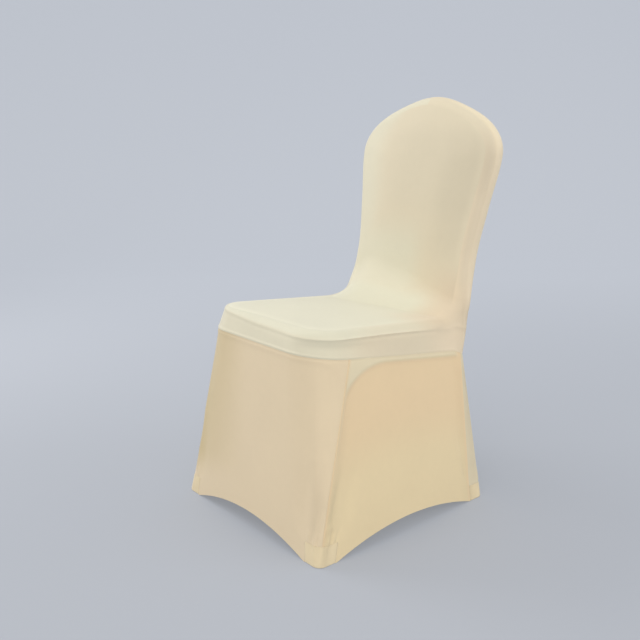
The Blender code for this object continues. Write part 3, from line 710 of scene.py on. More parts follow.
def new_piece(name, points, faces):
    """A smooth piece from its points, as they lie from the hanging point, and its faces."""
    mesh = bpy.data.meshes.new(name)
    mesh.from_pydata(points, [], faces)
    mesh.validate()
    mesh.shade_smooth()
    piece = bpy.data.objects.new(name, mesh)
    bpy.context.collection.objects.link(piece)
    return piece


def set_shade(piece, key, values):
    """Gives each point of a piece a value that its material reads."""
    shown = piece.data.attributes.new(key, "FLOAT", "POINT")
    shown.data.foreach_set("value", np.asarray(values, "f"))


def sewn_panel(name, parts):
    """One panel: its outer face, its inner face, and the edges between them."""
    base, placed, out = (np.vstack([part[key].reshape(-1, 3) for part in parts])
                         for key in ("base", "placed", "out"))
    above_hem, *shades = (
        np.concatenate([part.get(key, np.full(part["base"].shape[:2], plain)).ravel() for part in parts])
        for key, plain in (("hem", NO_HEM), ("tone", 0), ("paler", 0), ("deeper", 0)))
    kept, place = shared_places(base)
    size = len(kept)
    placed = total_at(place, placed) / np.bincount(place)[:, None]
    out = unit(total_at(place, out))
    hem = np.full(size, NO_HEM)
    np.minimum.at(hem, place, above_hem)
    quads = place[cells(parts)]
    span = np.cross(placed[quads[:, 2]] - placed[quads[:, 0]], placed[quads[:, 3]] - placed[quads[:, 1]])
    normal = np.zeros_like(placed)
    for k in range(4):
        np.add.at(normal, quads[:, k], span)
    normal = unit(normal)

    border = border_of(quads, size)
    into = {}
    for a, b in border:
        normal[a], normal[b] = out[a], out[b]
    for a, b in border:
        for vert in (a, b):
            into.setdefault(vert, []).append(unit(np.cross(normal[vert], placed[b] - placed[a])))
    verts = sorted(into)
    ways = np.array([(into[v][0] + into[v][1]) / (1 + into[v][0] @ into[v][1]) for v in verts])
    normal[:, 2] *= step(.02, .05, hem)
    normal = unit(normal)
    hemmed = (hem[verts] < 1e-6)[:, None, None]
    edge = np.where(hemmed, np.array(HEM_EDGE), np.array(SEAM_EDGE)) / 1000
    line = placed[verts][:, None] + ways[:, None] * edge[..., :1] - normal[verts][:, None] * edge[..., 1:]
    thick = np.where(hem < HEM_TURNED + 1e-5, 2 * KNIT, KNIT)[:, None]
    inner = placed - normal * thick
    outer = placed.copy()
    outer[verts], inner[verts] = line[:, 0], line[:, -1]
    points = np.vstack([outer, inner, line[:, 1:-1].reshape(-1, 3)])
    levels = edge.shape[1] - 2
    spot = {v: [v] + [2 * size + k * levels + row for row in range(levels)] + [size + v]
            for k, v in enumerate(verts)}
    faces = quads.tolist() + (quads[:, ::-1] + size).tolist()
    for a, b in border:
        for row in range(levels + 1):
            faces.append([spot[b][row], spot[a][row], spot[a][row + 1], spot[b][row + 1]])
    piece = new_piece(name, (points - HANGING_POINT).tolist(), faces)
    for key, shade in zip(("tone", "paler", "deeper"), shades):
        shade = shade[kept]
        set_shade(piece, key, np.concatenate([shade, shade, np.repeat(shade[verts], levels)]))
    return piece


# The origin, under the cloth at the top of the crown
HANGING_POINT = np.array([0, lean_line(OVERALL_HEIGHT) + BACK_DEPTH / 2, OVERALL_HEIGHT - 0.002])


def plug(node, inputs):
    """Sets a node's inputs, each to a value or from another node's output."""
    for key, value in inputs.items():
        if isinstance(value, bpy.types.NodeSocket):
            node.id_data.links.new(value, node.inputs[key])
        else:
            node.inputs[key].default_value = value


def add_node(tree, kind, inputs=None, **settings):
    """Adds one node to a material's tree."""
    node = tree.nodes.new("ShaderNode" + kind)
    for key, value in settings.items():
        setattr(node, key, value)
    plug(node, inputs or {})
    return node


def new_material(name, inputs):
    """A material, its tree of nodes, and its shader with its plain inputs set."""
    material = bpy.data.materials.new(name)
    material.use_nodes = True
    shader = material.node_tree.nodes["Principled BSDF"]
    plug(shader, inputs)
    return material, material.node_tree, shader


RIB_PITCH = 0.00125          # one rib of the knit
ROW_PITCH = 0.00095          # and one row of its loops
KNIT_RELIEF = 0.00012        # depth of the relief they make


def knit_material(name, colour, paler_colour=None, deeper_colour=None):
    """Cream stretch knit: fine ribs down the cloth, rows across it, soft fibre and faint unevenness.

    Painted light and shade draw it lighter or darker. It takes its paler, lit colour where painted light is
    drawn, and its deeper colour where painted shade and the tint low on the skirts' sides are drawn.
    """
    material, tree, shader = new_material(name, {"Roughness": 0.62, "Specular IOR Level": 0.30,
                                                 "Sheen Weight": 0.18, "Sheen Roughness": 0.45})

    def reckon(kind, first, second=0):
        return add_node(tree, "Math", {0: first, 1: second}, operation=kind).outputs[0]

    def fade(value, low, high):
        return add_node(tree, "MapRange", {1: low, 2: high, 0: value},
                        interpolation_type="SMOOTHSTEP").outputs[0]

    def clouds(scale, detail, roughness):
        return add_node(tree, "TexNoise", {2: scale, 3: detail, 4: roughness, "Vector": place}).outputs[0]

    def wave(value, pitch):
        return reckon("SINE", reckon("MULTIPLY", value, 2 * math.pi / pitch))

    place = add_node(tree, "TexCoord").outputs["Object"]
    x, y, z = add_node(tree, "SeparateXYZ", {0: place}).outputs
    facing = add_node(tree, "SeparateXYZ", {0: add_node(tree, "NewGeometry").outputs["Normal"]}).outputs
    turned = [reckon("ABSOLUTE", part) for part in facing]
    sideways = fade(reckon("SUBTRACT", turned[0], turned[1]), -0.15, 0.15)
    level = fade(turned[2], 0.62, 0.78)
    rib = wave(add_node(tree, "Mix", {0: sideways, 2: x, 3: y}).outputs[0], RIB_PITCH)
    row = wave(add_node(tree, "Mix", {0: level, 2: z, 3: y}).outputs[0], ROW_PITCH)
    fibre = clouds(900.0, 3.0, 0.6)
    ribs = reckon("MULTIPLY", rib, 0.5)
    loops = reckon("ADD", ribs, reckon("MULTIPLY", reckon("MULTIPLY", rib, row), 0.35))
    height = reckon("ADD", loops, reckon("MULTIPLY", fibre, 0.9))
    relief = add_node(tree, "Bump", {"Strength": 0.35, "Distance": KNIT_RELIEF, "Height": height})
    # Painted light and shade: an attribute that draws the cream lighter or darker, on top of the knit's own
    # unevenness
    tones = add_node(tree, "Attribute", attribute_name="tone").outputs["Fac"]
    uneven = ((clouds(9.0, 2.0, 0.5), 0.050), (clouds(70.0, 3.0, 0.55), 0.030), (fibre, 0.040),
              (loops, 0.012), (tones, 0.10))
    shade, *others = [reckon("MULTIPLY", layer, strength) for layer, strength in uneven]
    for other in (*others, 0.940):
        shade = reckon("ADD", shade, other)
    cream = (*colour, 1)
    for painted, other in (("paler", paler_colour), ("deeper", deeper_colour)):
        if other:
            share = add_node(tree, "Attribute", attribute_name=painted).outputs["Fac"]
            cream = add_node(tree, "Mix", {0: share, 6: cream, 7: (*other, 1)}, data_type="RGBA").outputs[2]
    tint = add_node(tree, "Mix", {0: 1.0, 6: cream, 7: shade}, data_type="RGBA", blend_type="MULTIPLY")
    plug(shader, {"Base Color": tint.outputs[2], "Normal": relief.outputs[0]})
    return material


UPRIGHT_CREAM = (0.70, 0.61, 0.437)
# Painted light: the paler cream drawn where the cloth faces up
LIT_TOP_CREAM = (0.70, 0.665, 0.505)
# Painted shade: the warmer, deeper cream drawn at the backrest's heel and down its side
HEEL_SHADE_CREAM = (0.70, 0.58, 0.412)
halves = {mirror: upper_half(mirror) for mirror in (1, -1)}
parts = []
for half in halves.values():
    parts += [half["band"], half["seat"], half["back"]]
    parts += [cut(half[name], columns=slice(0, SEAM_TURN + 1)) for name in ("neck", "turn")]
seat_and_back = sewn_panel("seat_and_back_cloth", parts)
seat_and_back.data.materials.append(knit_material("seat_knit", UPRIGHT_CREAM, LIT_TOP_CREAM, HEEL_SHADE_CREAM))
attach(seat_and_back, "root")
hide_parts("inside_back_and_seat")

# ---------------------------------------------------------------------------------------------
# Outside back: one panel from the crown down the rear of the backrest, drawn in at the waist behind
# the seat, and on down as the rear skirt with the turns round both rear legs. Its hem arches
# between the feet.

FRONT_FOOT = (0.233, -0.235)   # where the feet stand, in plan
REAR_FOOT = (0.227, 0.257)
FOOT_ROUND = 0.019           # plan radius of the corner over a foot
REAR_LEAD = 0.030            # stretch of hem in front of the rear seam that narrows into the turn
POCKET_SIDE = 0.050          # how far a pocket reaches from the outer corner of its foot
POCKET_SHARE = 0.105         # share of the skirt's height that a pocket takes
ARCH_FRONT = 0.038           # rise of the hem between two feet
ARCH_SIDE = 0.036
ARCH_REAR = 0.036
LEG_HOLLOW = 0.004           # how far the cloth sinks in beside a leg
LEG_SINK_SPAN = 0.40         # the share of the skirt's height above the pockets where it does
LEG_REACH = 0.045            # and how far from the leg's seam it is deepest
# Rows of points by their height above the hem, and by their depth under the band's seam
HEM_ROWS = (0, .0013, .0028, .0045, .0060, .0067, .0074, .0090, .0100, .0107, .0114, .0120, .0125, .0145,
            .0180)
TOP_ROWS = (.030, .024, .019, .0150, .0118, .0092, .0072, .0055, .0041, .0029, .0018, .0008, 0)
HEM_SHARES = finer((0, .14, .28, .42, .56, .70, .832, .945, .960, .974, .987, 1), FRONT_STEPS)


def hem_arch(distance, reach, rise):
    """Height of the hem at a distance from the middle of a span that reaches to the pockets."""
    return rise * np.clip(1 - (distance / reach) ** 2, 0, 1)


def hem_ring():
    """The lower edge, foot to foot, in the same stretches as the band's ring."""
    (fx, fy), (rx, ry) = FRONT_FOOT, REAR_FOOT
    lap = POCKET_SIDE - FOOT_ROUND
    front = np.vstack([[[0, fy - FOOT_ROUND]], arc((fx, fy), FOOT_ROUND, -90, -45)])
    seam_y = ry - lap
    side_end = (rx + FOOT_ROUND, seam_y - REAR_LEAD)
    side = np.vstack([arc((fx, fy), FOOT_ROUND, -45, 0), [side_end]])
    before = along([side_end, (rx + FOOT_ROUND, seam_y)], even(SEAM_TURN))
    corner = along(arc((rx, ry), FOOT_ROUND, 0, 90), even(len(TURN_ANGLES) - SEAM_TURN - 2))
    turn = np.vstack([before, corner])
    rear = np.array([corner[-1], [0, ry + FOOT_ROUND]])
    front, side, rear = along(front, HEM_SHARES), along(side, SIDE_SHARES), along(rear, REAR_SHARES)
    middle = (fy + lap + seam_y) / 2
    reach = (seam_y - fy - lap) / 2
    rise_front = hem_arch(front[:, 0], fx - lap, ARCH_FRONT)
    rise_side = hem_arch(side[:, 1] - middle, reach, ARCH_SIDE)
    rise_turn = hem_arch(turn[:, 1] - middle, reach, ARCH_SIDE)
    rise_rear = hem_arch(rear[:, 0], rx - lap, ARCH_REAR)
    return [np.c_[front, rise_front], np.c_[side, rise_side], np.c_[turn, rise_turn], np.c_[rear, rise_rear]]


POCKET_ROWS = len(HEM_ROWS) + 9     # rows of cells from the hem to a pocket's top
SKIRT_STEPS = 74                    # rows of cells between that and the band's seam


def skirt_shares(height):
    """Share of the way up the skirt of each row, by each column's height."""
    ground = np.array(HEM_ROWS)[:, None] / height
    top = 1 - np.array(TOP_ROWS)[:, None] / height
    low = ground[-1] + (POCKET_SHARE - ground[-1]) * even(POCKET_ROWS - len(HEM_ROWS) + 1)[1:, None]
    high = POCKET_SHARE + (top[0] - POCKET_SHARE) * even(SKIRT_STEPS)[1:, None]
    return np.vstack([ground, low, high, top[1:]])


# Creases, in millimetres: distance round from the leg seam (minus in front, plus along the side)
# and height above the floor of one end, the same of the other end, half width, and depth (minus) or lift.
LEG_CREASES = {
    1: ((-14, 44, -11, 150, 5.5, -2.6), (-25, 46, -24, 104, 4, -1.4), (-33, 44, -39, 76, 3.2, 1.6),
        (-29, 44, -32, 64, 2.6, -1.4), (6, 44, 9, 84, 3, -2.1), (14, 44, 17, 70, 3.2, 1),
        (22, 44, 19, 88, 3.5, -2.6), (13, 84, 27, 210, 8, -2.4), (34, 44, 42, 82, 3.4, -1.2),
        (-8, 44, -7, 74, 2.4, 0.8), (-20, 44, -18, 66, 2.6, 0.9), (28, 44, 31, 66, 2.7, 1)),
    -1: ((-13, 44, -16, 130, 5.5, -2.1), (-28, 46, -32, 96, 3.8, -1.3), (-36, 44, -31, 72, 3.2, 1.4),
         (-23, 44, -20, 66, 2.7, -1.4), (8, 44, 6, 90, 3.2, -1.8), (17, 44, 22, 76, 3.1, 1),
         (26, 44, 31, 80, 3.6, -2.1), (15, 84, 20, 190, 7.5, -1.9), (-6, 44, -9, 70, 2.6, 0.8)),
}
REAR_CREASES = {
    1: ((6, 44, 4, 96, 3.8, -1.8), (15, 44, 19, 74, 3.1, 1), (25, 44, 22, 104, 3.2, -2.4),
        (36, 44, 38, 80, 3.5, 1), (47, 44, 45, 92, 3.4, -1.9), (-14, 60, -26, 210, 9, -1.8),
        (-9, 44, -14, 76, 3.8, -1.2), (60, 46, 72, 120, 6, -1.2)),
    -1: ((4, 44, 8, 88, 3, -2), (14, 44, 12, 70, 3, 0.9), (22, 44, 27, 98, 3.1, -2.2),
         (34, 44, 31, 84, 3.8, 1), (44, 44, 50, 100, 3.6, -2), (-12, 60, -20, 180, 9, -1.5),
         (-8, 44, -11, 70, 3.8, -1.1), (58, 46, 66, 110, 6, -1.1)),
}


def creases(round_way, height, table):
    """Soft troughs and ridges, each along a line between two places."""
    total = np.zeros(round_way.shape)
    for u0, h0, u1, h1, width, depth in np.array(table) / 1000:
        long = math.hypot(u1 - u0, h1 - h0)
        du, dh = (u1 - u0) / long, (h1 - h0) / long
        forward = (round_way - u0) * du + (height - h0) * dh
        aside = (round_way - u0) * dh - (height - h0) * du
        ends = step(-0.003, 0.003, forward) * (1 - step(0.45 * long, long, forward))
        total += depth * ends * bump(aside, 0, width * (1 + 0.6 * np.clip(forward / long, 0, 1)))
    return total


LEG_BOW = {1: 0.0, -1: 0.0028}         # a slack bow in the cloth down the right front leg
LEG_RIDGE = 0.0012           # the seams over the legs stand up a little
SEAM_DIP = 0.0004            # and the skirt starts in a dip under the band's seam
FRAME_REACH = 0.120          # the chair's corner braces hold the cloth out this far along the side
FRAME_HEIGHT = 0.085         # and this far below the band
FRAME_STEP = {1: 0.0030, -1: 0.0024}   # beyond them it falls back
FRONT_FRAME_REACH = 0.075    # the same in front
FRONT_FRAME_HEIGHT = 0.060
FRONT_FRAME_STEP = 0.0012


def past_brace(aside, down, reach, tall):
    """How far a place lies past the curved edge of a corner brace: minus inside it, 1 well away from it."""
    return 1 - np.hypot(np.clip(1 - aside / reach, 0, 1), np.clip(1 - down / tall, 0, 1))


def skirt_relief(from_leg, from_rear, from_top, height, mirror):
    """How far the skirt stands off its plain shape, square to the cloth."""
    ground = height - from_top
    corner = past_brace(np.clip(from_leg, 0, 9), from_top - 0.008, FRAME_REACH, FRAME_HEIGHT)
    front_corner = past_brace(np.clip(-from_leg, 0, 9), from_top - 0.006,
                              FRONT_FRAME_REACH, FRONT_FRAME_HEIGHT)
    fade = 1 - step(0.40, 0.85, from_top / height)
    side_part = step(0, .010, from_leg) * (1 - step(-.030, 0, from_rear))
    move = -FRAME_STEP[mirror] * step(-0.03, 0.13, corner) * fade * side_part
    move = move - FRONT_FRAME_STEP * step(-0.05, 0.20, front_corner) * fade * step(0, .010, -from_leg)
    dip = SEAM_DIP * (1 - 0.6 * step(.01, .06, from_leg)) * (1 - step(-.004, .004, from_rear))
    move = move - dip * bump(from_top, .0030, .0030) * step(0, .001, from_top)
    above = ground - POCKET_SHARE * height
    folds = creases(from_leg, ground, LEG_CREASES[mirror]) + creases(from_rear, ground, REAR_CREASES[mirror])
    move = move + folds * (0.35 * step(-0.0004, 0.0, above) + 0.65 * step(0, 0.006, above))
    seam = bump(np.abs(from_leg), .0018, .0020) + 0.8 * bump(np.abs(from_rear), .0018, .0020)
    bow = LEG_BOW[mirror] * np.sin(math.pi * np.clip(from_top / height, 0, 1)) * bump(from_leg, 0, .07)
    move = move + bow * step(0, 0.03, above)
    # Painted light: the share of paler cream, where the cloth lies over the braces
    held = (1 - step(-.02, .10, corner)) * side_part * fade
    return move + LEG_RIDGE * seam * step(0.002, 0.010, above), held


# Painted shade in the hollows beside each leg's seam: how dark the cloth is drawn before and after it
LEG_SHADES = {1: (0, .35), -1: (0, .5)}
REAR_SHADES = {1: (.4, .8), -1: (.5, .8)}
# and painted shade where the cloth is bunched into folds, in millimetres: distance round from the seam,
# height, the half widths of both, and the shade
LEG_PATCHES = {1: ((-24, 112, 14, 62, -.75), (14, 100, 12, 60, -.8), (16, 215, 12, 90, -.25),
                   (9, 24, 8, 26, -1.0)),
               -1: ((-20, 100, 14, 60, -.5), (16, 100, 14, 60, -.6))}


def leg_tone(from_seam, share, shades):
    """Painted shade: a darker strip on each side of a leg's seam, in the hollows where the cloth sinks in."""
    depth = np.where(from_seam < 0, shades[0], shades[1])
    beside = between((.001, .006), (.012, .034), np.abs(from_seam))
    return -depth * beside * (1 - step(.85, .97, share))


def patch_tone(round_way, height, table):
    """Soft patches of painted shade and painted light on the cloth, darker or lighter by their sign."""
    total = np.zeros(round_way.shape)
    for u, h, wide, tall, shade in np.array(table) / (1000, 1000, 1000, 1000, 1):
        total += shade * np.exp(-((round_way - u) / wide) ** 2 - np.abs((height - h) / tall) ** 3)
    return total


def shade_and_low_tint_share(across, from_leg, from_rear, share, mirror):
    """Where the skirt takes its second cream: a tint low on the sides, painted shade on the front's right."""
    side = step(0, .01, from_leg) * (1 - step(-.01, 0, from_rear)) * (1 - step(.30, .70, share))
    if mirror > 0:
        return side
    inside = 0.245 - 0.074 * share - across
    shade_and_tint = np.exp(-np.clip(inside, 0, 1) / .095 - (np.clip(-inside, 0, 1) / (.004 + .016 * share)) ** 2)
    return np.where(from_leg < 0, shade_and_tint * step(0, .09, across) * step(.10, .30, share), side)


def skirt_half(mirror):
    """The whole skirt over the +X half, from the middle of the front round to the middle of the rear."""
    ring, hem = band_ring(), hem_ring()
    low, high = joined(hem), joined(ring)
    height = np.linalg.norm(high - low, axis=1)
    share = skirt_shares(height)
    skirt = low * (1 - share[..., None]) + high * share[..., None]
    seam = len(ring[0]) - 1
    count = seam + len(ring[1])
    ridge = skirt[:, seam]
    near = np.linalg.norm(skirt[:, :count] - ridge[:, None], axis=2) / LEG_REACH
    sink = LEG_HOLLOW * np.clip(np.sin(math.pi * np.clip(near / 2, 0, 1)), 0, 1) ** 2
    sink = sink * np.sin(math.pi * np.clip((share[:, :count] - POCKET_SHARE) / LEG_SINK_SPAN, 0, 1))
    skirt[:, :count] += sink[..., None] * np.array([-1.0, 1.0, 0.0]) / math.sqrt(2)
    out = outward(skirt)
    from_top = height * (1 - share)
    out[-1] = level_normals(high)
    back_seam = count - 1 + SEAM_TURN
    round_way = reach_along(skirt.swapaxes(0, 1)).T
    from_leg = round_way - round_way[:, [seam]]
    from_rear = round_way - round_way[:, [back_seam]]
    move, held = skirt_relief(from_leg, from_rear, from_top, height, mirror)
    # Painted shade beside the leg and rear seams and in the bunched cloth, and the share of the second cream
    tone = leg_tone(from_leg, share, LEG_SHADES[mirror]) + leg_tone(from_rear, share, REAR_SHADES[mirror])
    tone += patch_tone(from_leg, share * height, LEG_PATCHES[mirror])
    shade_and_tint = shade_and_low_tint_share(skirt[..., 0], from_leg, from_rear, share, mirror)
    return sided(mirror, skirt, skirt + out * move[..., None] + waist_ease(skirt), out,
                 hem=share * height, tone=tone, paler=held, deeper=shade_and_tint, from_leg=from_leg)


HEM_STITCH_ROWS = (5, 9)     # the rows of the skirt's points that they follow, 6.7 and 10.7 mm up
STITCH = 0.0030              # one stitch of the hem's twin rows, and the gap after it
THREAD = 0.00034             # thickness of the thread
THREAD_LIFT = 0.35           # how high its middle lies on the cloth, in half thicknesses
THREAD_FLAT = 0.8            # its height as a share of its width, pressed by the foot of the machine
THREAD_SUNK = 0.00015        # how deep its thinner ends are pulled in
STITCH_SIDES = 6             # flats round the thread
STITCH_TIPS = ((-.42, 0), (-.34, .8), (0, 1), (.34, .8), (.42, 0))    # places along it, and thickness there


def thread_material(name, colour):
    """Sewing thread: fine twisted strands with a soft shine."""
    material, tree, shader = new_material(name, {"Roughness": 0.48, "Sheen Weight": 0.15})
    place = add_node(tree, "TexCoord").outputs["Object"]
    strands = add_node(tree, "TexNoise", {"Scale": 2600.0, "Vector": place}).outputs["Fac"]
    between_strands = (*(0.90 * part for part in colour), 1)
    tint = add_node(tree, "Mix", {0: strands, 6: between_strands, 7: (*colour, 1)}, data_type="RGBA")
    relief = add_node(tree, "Bump", {"Strength": 0.3, "Distance": 0.00005, "Height": strands})
    plug(shader, {"Base Color": tint.outputs[2], "Normal": relief.outputs["Normal"]})
    return material


def stitching(name, sheets, rows, columns, thread):
    """Rows of lock stitches along rows of a sheet's points: each is a short thread pulled into the cloth."""
    points, faces = [], []
    for line, out in ((sheet["placed"][row, columns], sheet["out"][row, columns])
                      for sheet in sheets for row in rows):
        reach = reach_along(line)
        middles = np.arange(STITCH / 2, reach[-1], STITCH)
        spots, ahead, normal = (np.stack([np.interp(at, reach, grid[:, k]) for k in range(3)], 1)
                                for at, grid in ((middles, line), (middles + 0.0005, line), (middles, out)))
        way = unit(ahead - spots)
        for spot, forth, up, over in zip(spots, way, normal, np.cross(normal, way)):
            first = len(points)
            for share, full in STITCH_TIPS:
                for turn in np.radians(np.arange(0, 360, 360 / STITCH_SIDES)):
                    ring = up * (math.sin(turn) * THREAD_FLAT + THREAD_LIFT) + over * math.cos(turn)
                    sunk = up * (1 - full) * THREAD_SUNK
                    points.append(spot + forth * share * STITCH + ring * full * THREAD / 2 - sunk)
            last = len(points) - STITCH_SIDES
            for k in range(first, last, STITCH_SIDES):
                for side in range(STITCH_SIDES):
                    beside = (side + 1) % STITCH_SIDES
                    faces.append((k + side, k + beside, k + STITCH_SIDES + beside, k + STITCH_SIDES + side))
            faces += [range(first + STITCH_SIDES - 1, first - 1, -1), range(last, last + STITCH_SIDES)]
    piece = new_piece(name, (np.array(points) - HANGING_POINT).tolist(), faces)
    piece.data.materials.append(thread)
    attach(piece, "root")
    return piece


skirts = {mirror: skirt_half(mirror) for mirror in (1, -1)}
LEG_SEAM = len(FRONT_SHARES) - 1
BACK_SEAM = LEG_SEAM + len(SIDE_SHARES) - 1 + SEAM_TURN
REAR_POCKET_END = BACK_SEAM + len(TURN_ANGLES) - SEAM_TURN
BACK_CREAM = (0.72, 0.62, 0.43)
parts = []
for mirror, half in halves.items():
    parts += [cut(half[name], columns=slice(SEAM_TURN, None)) for name in ("neck", "turn")]
    parts += [half["rear_low"], half["rear"]]
    parts += [cut(skirts[mirror], slice(POCKET_ROWS, None), slice(BACK_SEAM, None)),
              cut(skirts[mirror], slice(0, POCKET_ROWS + 1), slice(REAR_POCKET_END, None))]
outside_back = sewn_panel("outside_back_cloth", parts)
outside_back.data.materials.append(knit_material("back_knit", BACK_CREAM, None, HEEL_SHADE_CREAM))
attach(outside_back, "root")
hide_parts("outside_back")
cream_thread = thread_material("cream_thread", (0.80, 0.68, 0.46))
rear_stitches = stitching("rear_hem_stitches", skirts.values(), HEM_STITCH_ROWS,
                          slice(REAR_POCKET_END + 1, None), cream_thread)

# ---------------------------------------------------------------------------------------------
# Front skirt: a panel of the same knit between the two front-leg seams, sewn under the band. It is
# stretched down over the legs, and its hem arches between the feet.

FRONT_CREAM = (0.79, 0.64, 0.428)
# Painted shade: the deeper cream drawn over the right of the front skirt
FRONT_SHADE_CREAM = (0.62, 0.49, 0.262)
POCKET_COLUMN = sum(FRONT_STEPS[:6])       # the column where a front foot pocket starts
parts = []
for skirt in skirts.values():
    parts += [cut(skirt, slice(POCKET_ROWS, None), slice(0, LEG_SEAM + 1)),
              cut(skirt, slice(0, POCKET_ROWS + 1), slice(0, POCKET_COLUMN + 1))]
front_skirt = sewn_panel("front_skirt_cloth", parts)
front_skirt.data.materials.append(knit_material("front_skirt_knit", FRONT_CREAM, None, FRONT_SHADE_CREAM))
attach(front_skirt, "root")
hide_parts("front_skirt")
front_stitches = stitching("front_hem_stitches", skirts.values(), HEM_STITCH_ROWS,
                           slice(0, POCKET_COLUMN), cream_thread)

# ---------------------------------------------------------------------------------------------
# Side skirts: a panel of the knit on each side, from the front-leg seam to the seam beside the rear
# leg. It is sewn under the band, pulled tight over the chair's corner braces and legs, and hemmed in
# an arch between the feet.

# Painted warm shade: the side skirts' cream is drawn more orange than the front's, for sides turned from the
# light
SIDE_SHADE_CREAM = (0.814, 0.622, 0.379)
# Painted light: the paler cream drawn where the cloth lies over the chair's corner braces
BRACE_LIT_CREAM = (0.78, 0.67, 0.452)   # over the chair's corner braces
LOW_CREAM = (0.80, 0.648, 0.394)
POCKET_END = sum(SIDE_STEPS[:3])           # the column along the side where a front foot pocket ends
side_knit = knit_material("side_skirt_knit", SIDE_SHADE_CREAM, BRACE_LIT_CREAM, LOW_CREAM)
for mirror, side in ((1, "left"), (-1, "right")):
    piece = sewn_panel("side_skirt_cloth_" + side, [
        cut(skirts[mirror], slice(POCKET_ROWS, None), slice(LEG_SEAM, BACK_SEAM + 1)),
        cut(skirts[mirror], slice(0, POCKET_ROWS + 1), slice(LEG_SEAM + POCKET_END, BACK_SEAM + 1))])
    piece.data.materials.append(side_knit)
    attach(piece, "root")
    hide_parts("side_skirt_" + side)
    stitches = stitching("side_hem_stitches_" + side, [skirts[mirror]], HEM_STITCH_ROWS,
                         slice(LEG_SEAM + POCKET_END + 1, BACK_SEAM), cream_thread)

# ---------------------------------------------------------------------------------------------
# Foot pockets: a small pouch of doubled knit at each foot, which the chair's leg stands in. It is
# sewn to the corner of the skirt along its upper seam, and holds the cover down.

POCKET_CREAM = (0.815, 0.67, 0.425)
POCKET_BACK_ROUND = 0.009    # plan radius of the pouch's inner corner
POCKET_FLOOR_ROUND = 0.0025  # round between its walls and its floor
POCKET_FULL = 0.0005         # how far its doubled cloth stands out
HALF_GAP = 0.00017           # half the width of the seam that joins it to the skirt
pocket_knit = knit_material("pocket_knit", POCKET_CREAM)


def moved_in(ring, distance):
    """A closed plan outline moved towards its inside."""
    way = unit(np.roll(ring, -1, axis=0) - np.roll(ring, 1, axis=0))
    return ring + np.stack([-way[:, 1], way[:, 0]], 1) * distance


# Puckers that run down from the pouch's upper seam, as the creases of the skirt above it
POCKET_CREASES = ((-24, 52, -20, 20, 2.6, -.8), (-12, 52, -9, 14, 2.8, -.9), (-5, 52, -5, 24, 2.2, .6),
                  (3, 52, 5, 10, 2.6, -1.1), (11, 52, 10, 18, 2.6, .6), (17, 52, 15, 22, 2.4, -.9))


def pouch_ring(row, bend, last):
    """One level of a pouch's wall: the skirt's corner, closed by a rounded corner under the chair."""
    start, middle, end = row[0, :2], row[bend, :2], row[-1, :2]
    corner = max(((start[0], end[1]), (end[0], start[1])), key=lambda place: math.dist(place, middle))
    path = rounded(end, corner, start, POCKET_BACK_ROUND, 40)
    half = len(path) // 2
    back = np.vstack([along(np.vstack([[end], path[:half + 1]]), even(bend)),
                      along(np.vstack([path[half:], [start]]), even(last - bend))[1:]])
    ring = np.vstack([row[:, :2], back[1:-1]])
    height = np.concatenate([row[:, 2], np.linspace(row[-1, 2], row[0, 2], len(back))[1:-1]])
    low = POCKET_FLOOR_ROUND - min(row[0, 2], POCKET_FLOOR_ROUND)
    ring = moved_in(ring, POCKET_FLOOR_ROUND - math.sqrt(POCKET_FLOOR_ROUND ** 2 - low ** 2))
    return np.c_[ring, height]


def foot_pocket(skirt, first, bend, last):
    """The pouch round a leg's tip: a closed wall, whose outer part is the skirt's corner, and a floor."""
    mirror = skirt["mirror"]
    corner = cut(skirt, slice(0, POCKET_ROWS + 1), slice(first, last + 1))
    bend, last = bend - first, last - first
    wall = corner["base"] * (mirror, 1, 1)
    wall[-1, :, 2] -= HALF_GAP
    for edge, beside in ((0, 1), (-1, -2)):
        wall[:, edge] += unit(wall[:, beside] - wall[:, edge]) * HALF_GAP
    from_end = np.arange(last + 1) * .003
    shape = step(0, .012, from_end) * step(0, .012, from_end[::-1])
    tube = np.array([pouch_ring(row, bend, last) for row in wall])
    tube = np.concatenate([tube, tube[:, :1]], axis=1)
    out = outward(np.concatenate([tube[:, -2:-1], tube, tube[:, 1:2]], axis=1))[:, 1:-1]
    out[-1, :last + 1] = corner["out"][-1] * (mirror, 1, 1)
    outer = slice(0, last + 1)
    height = tube[:, outer, 2]
    full = POCKET_FULL * np.sin(math.pi * np.clip(height / height[-1:], 0, 1)) ** 0.8
    from_bend = corner["from_leg"] - corner["from_leg"][:, [bend]]
    puckers = creases(from_bend, height, POCKET_CREASES) * step(0, .004, height[-1:] - height)
    placed = tube.copy()
    placed[:, outer] += out[:, outer] * ((full + puckers) * shape)[..., None]
    # The pouch keeps the painted shade of the skirt's corner
    tone = np.zeros(tube.shape[:2])
    tone[:, outer] = corner["tone"]
    hem = np.full(tube.shape[:2], NO_HEM)
    hem[:, last + 1:-1] = (tube[-1:, :, 2] - tube[..., 2])[:, last + 1:-1]
    foot = tube[0]
    base = patch(foot[:bend + 1], foot[last:last + bend + 1][::-1], foot[last + bend:][::-1],
                 foot[bend:last + 1], even(last - bend))
    down = np.broadcast_to([0.0, 0.0, -1.0], base.shape)
    return [sided(mirror, tube, placed, out, hem=hem, tone=tone), sided(mirror, base, base, down)]


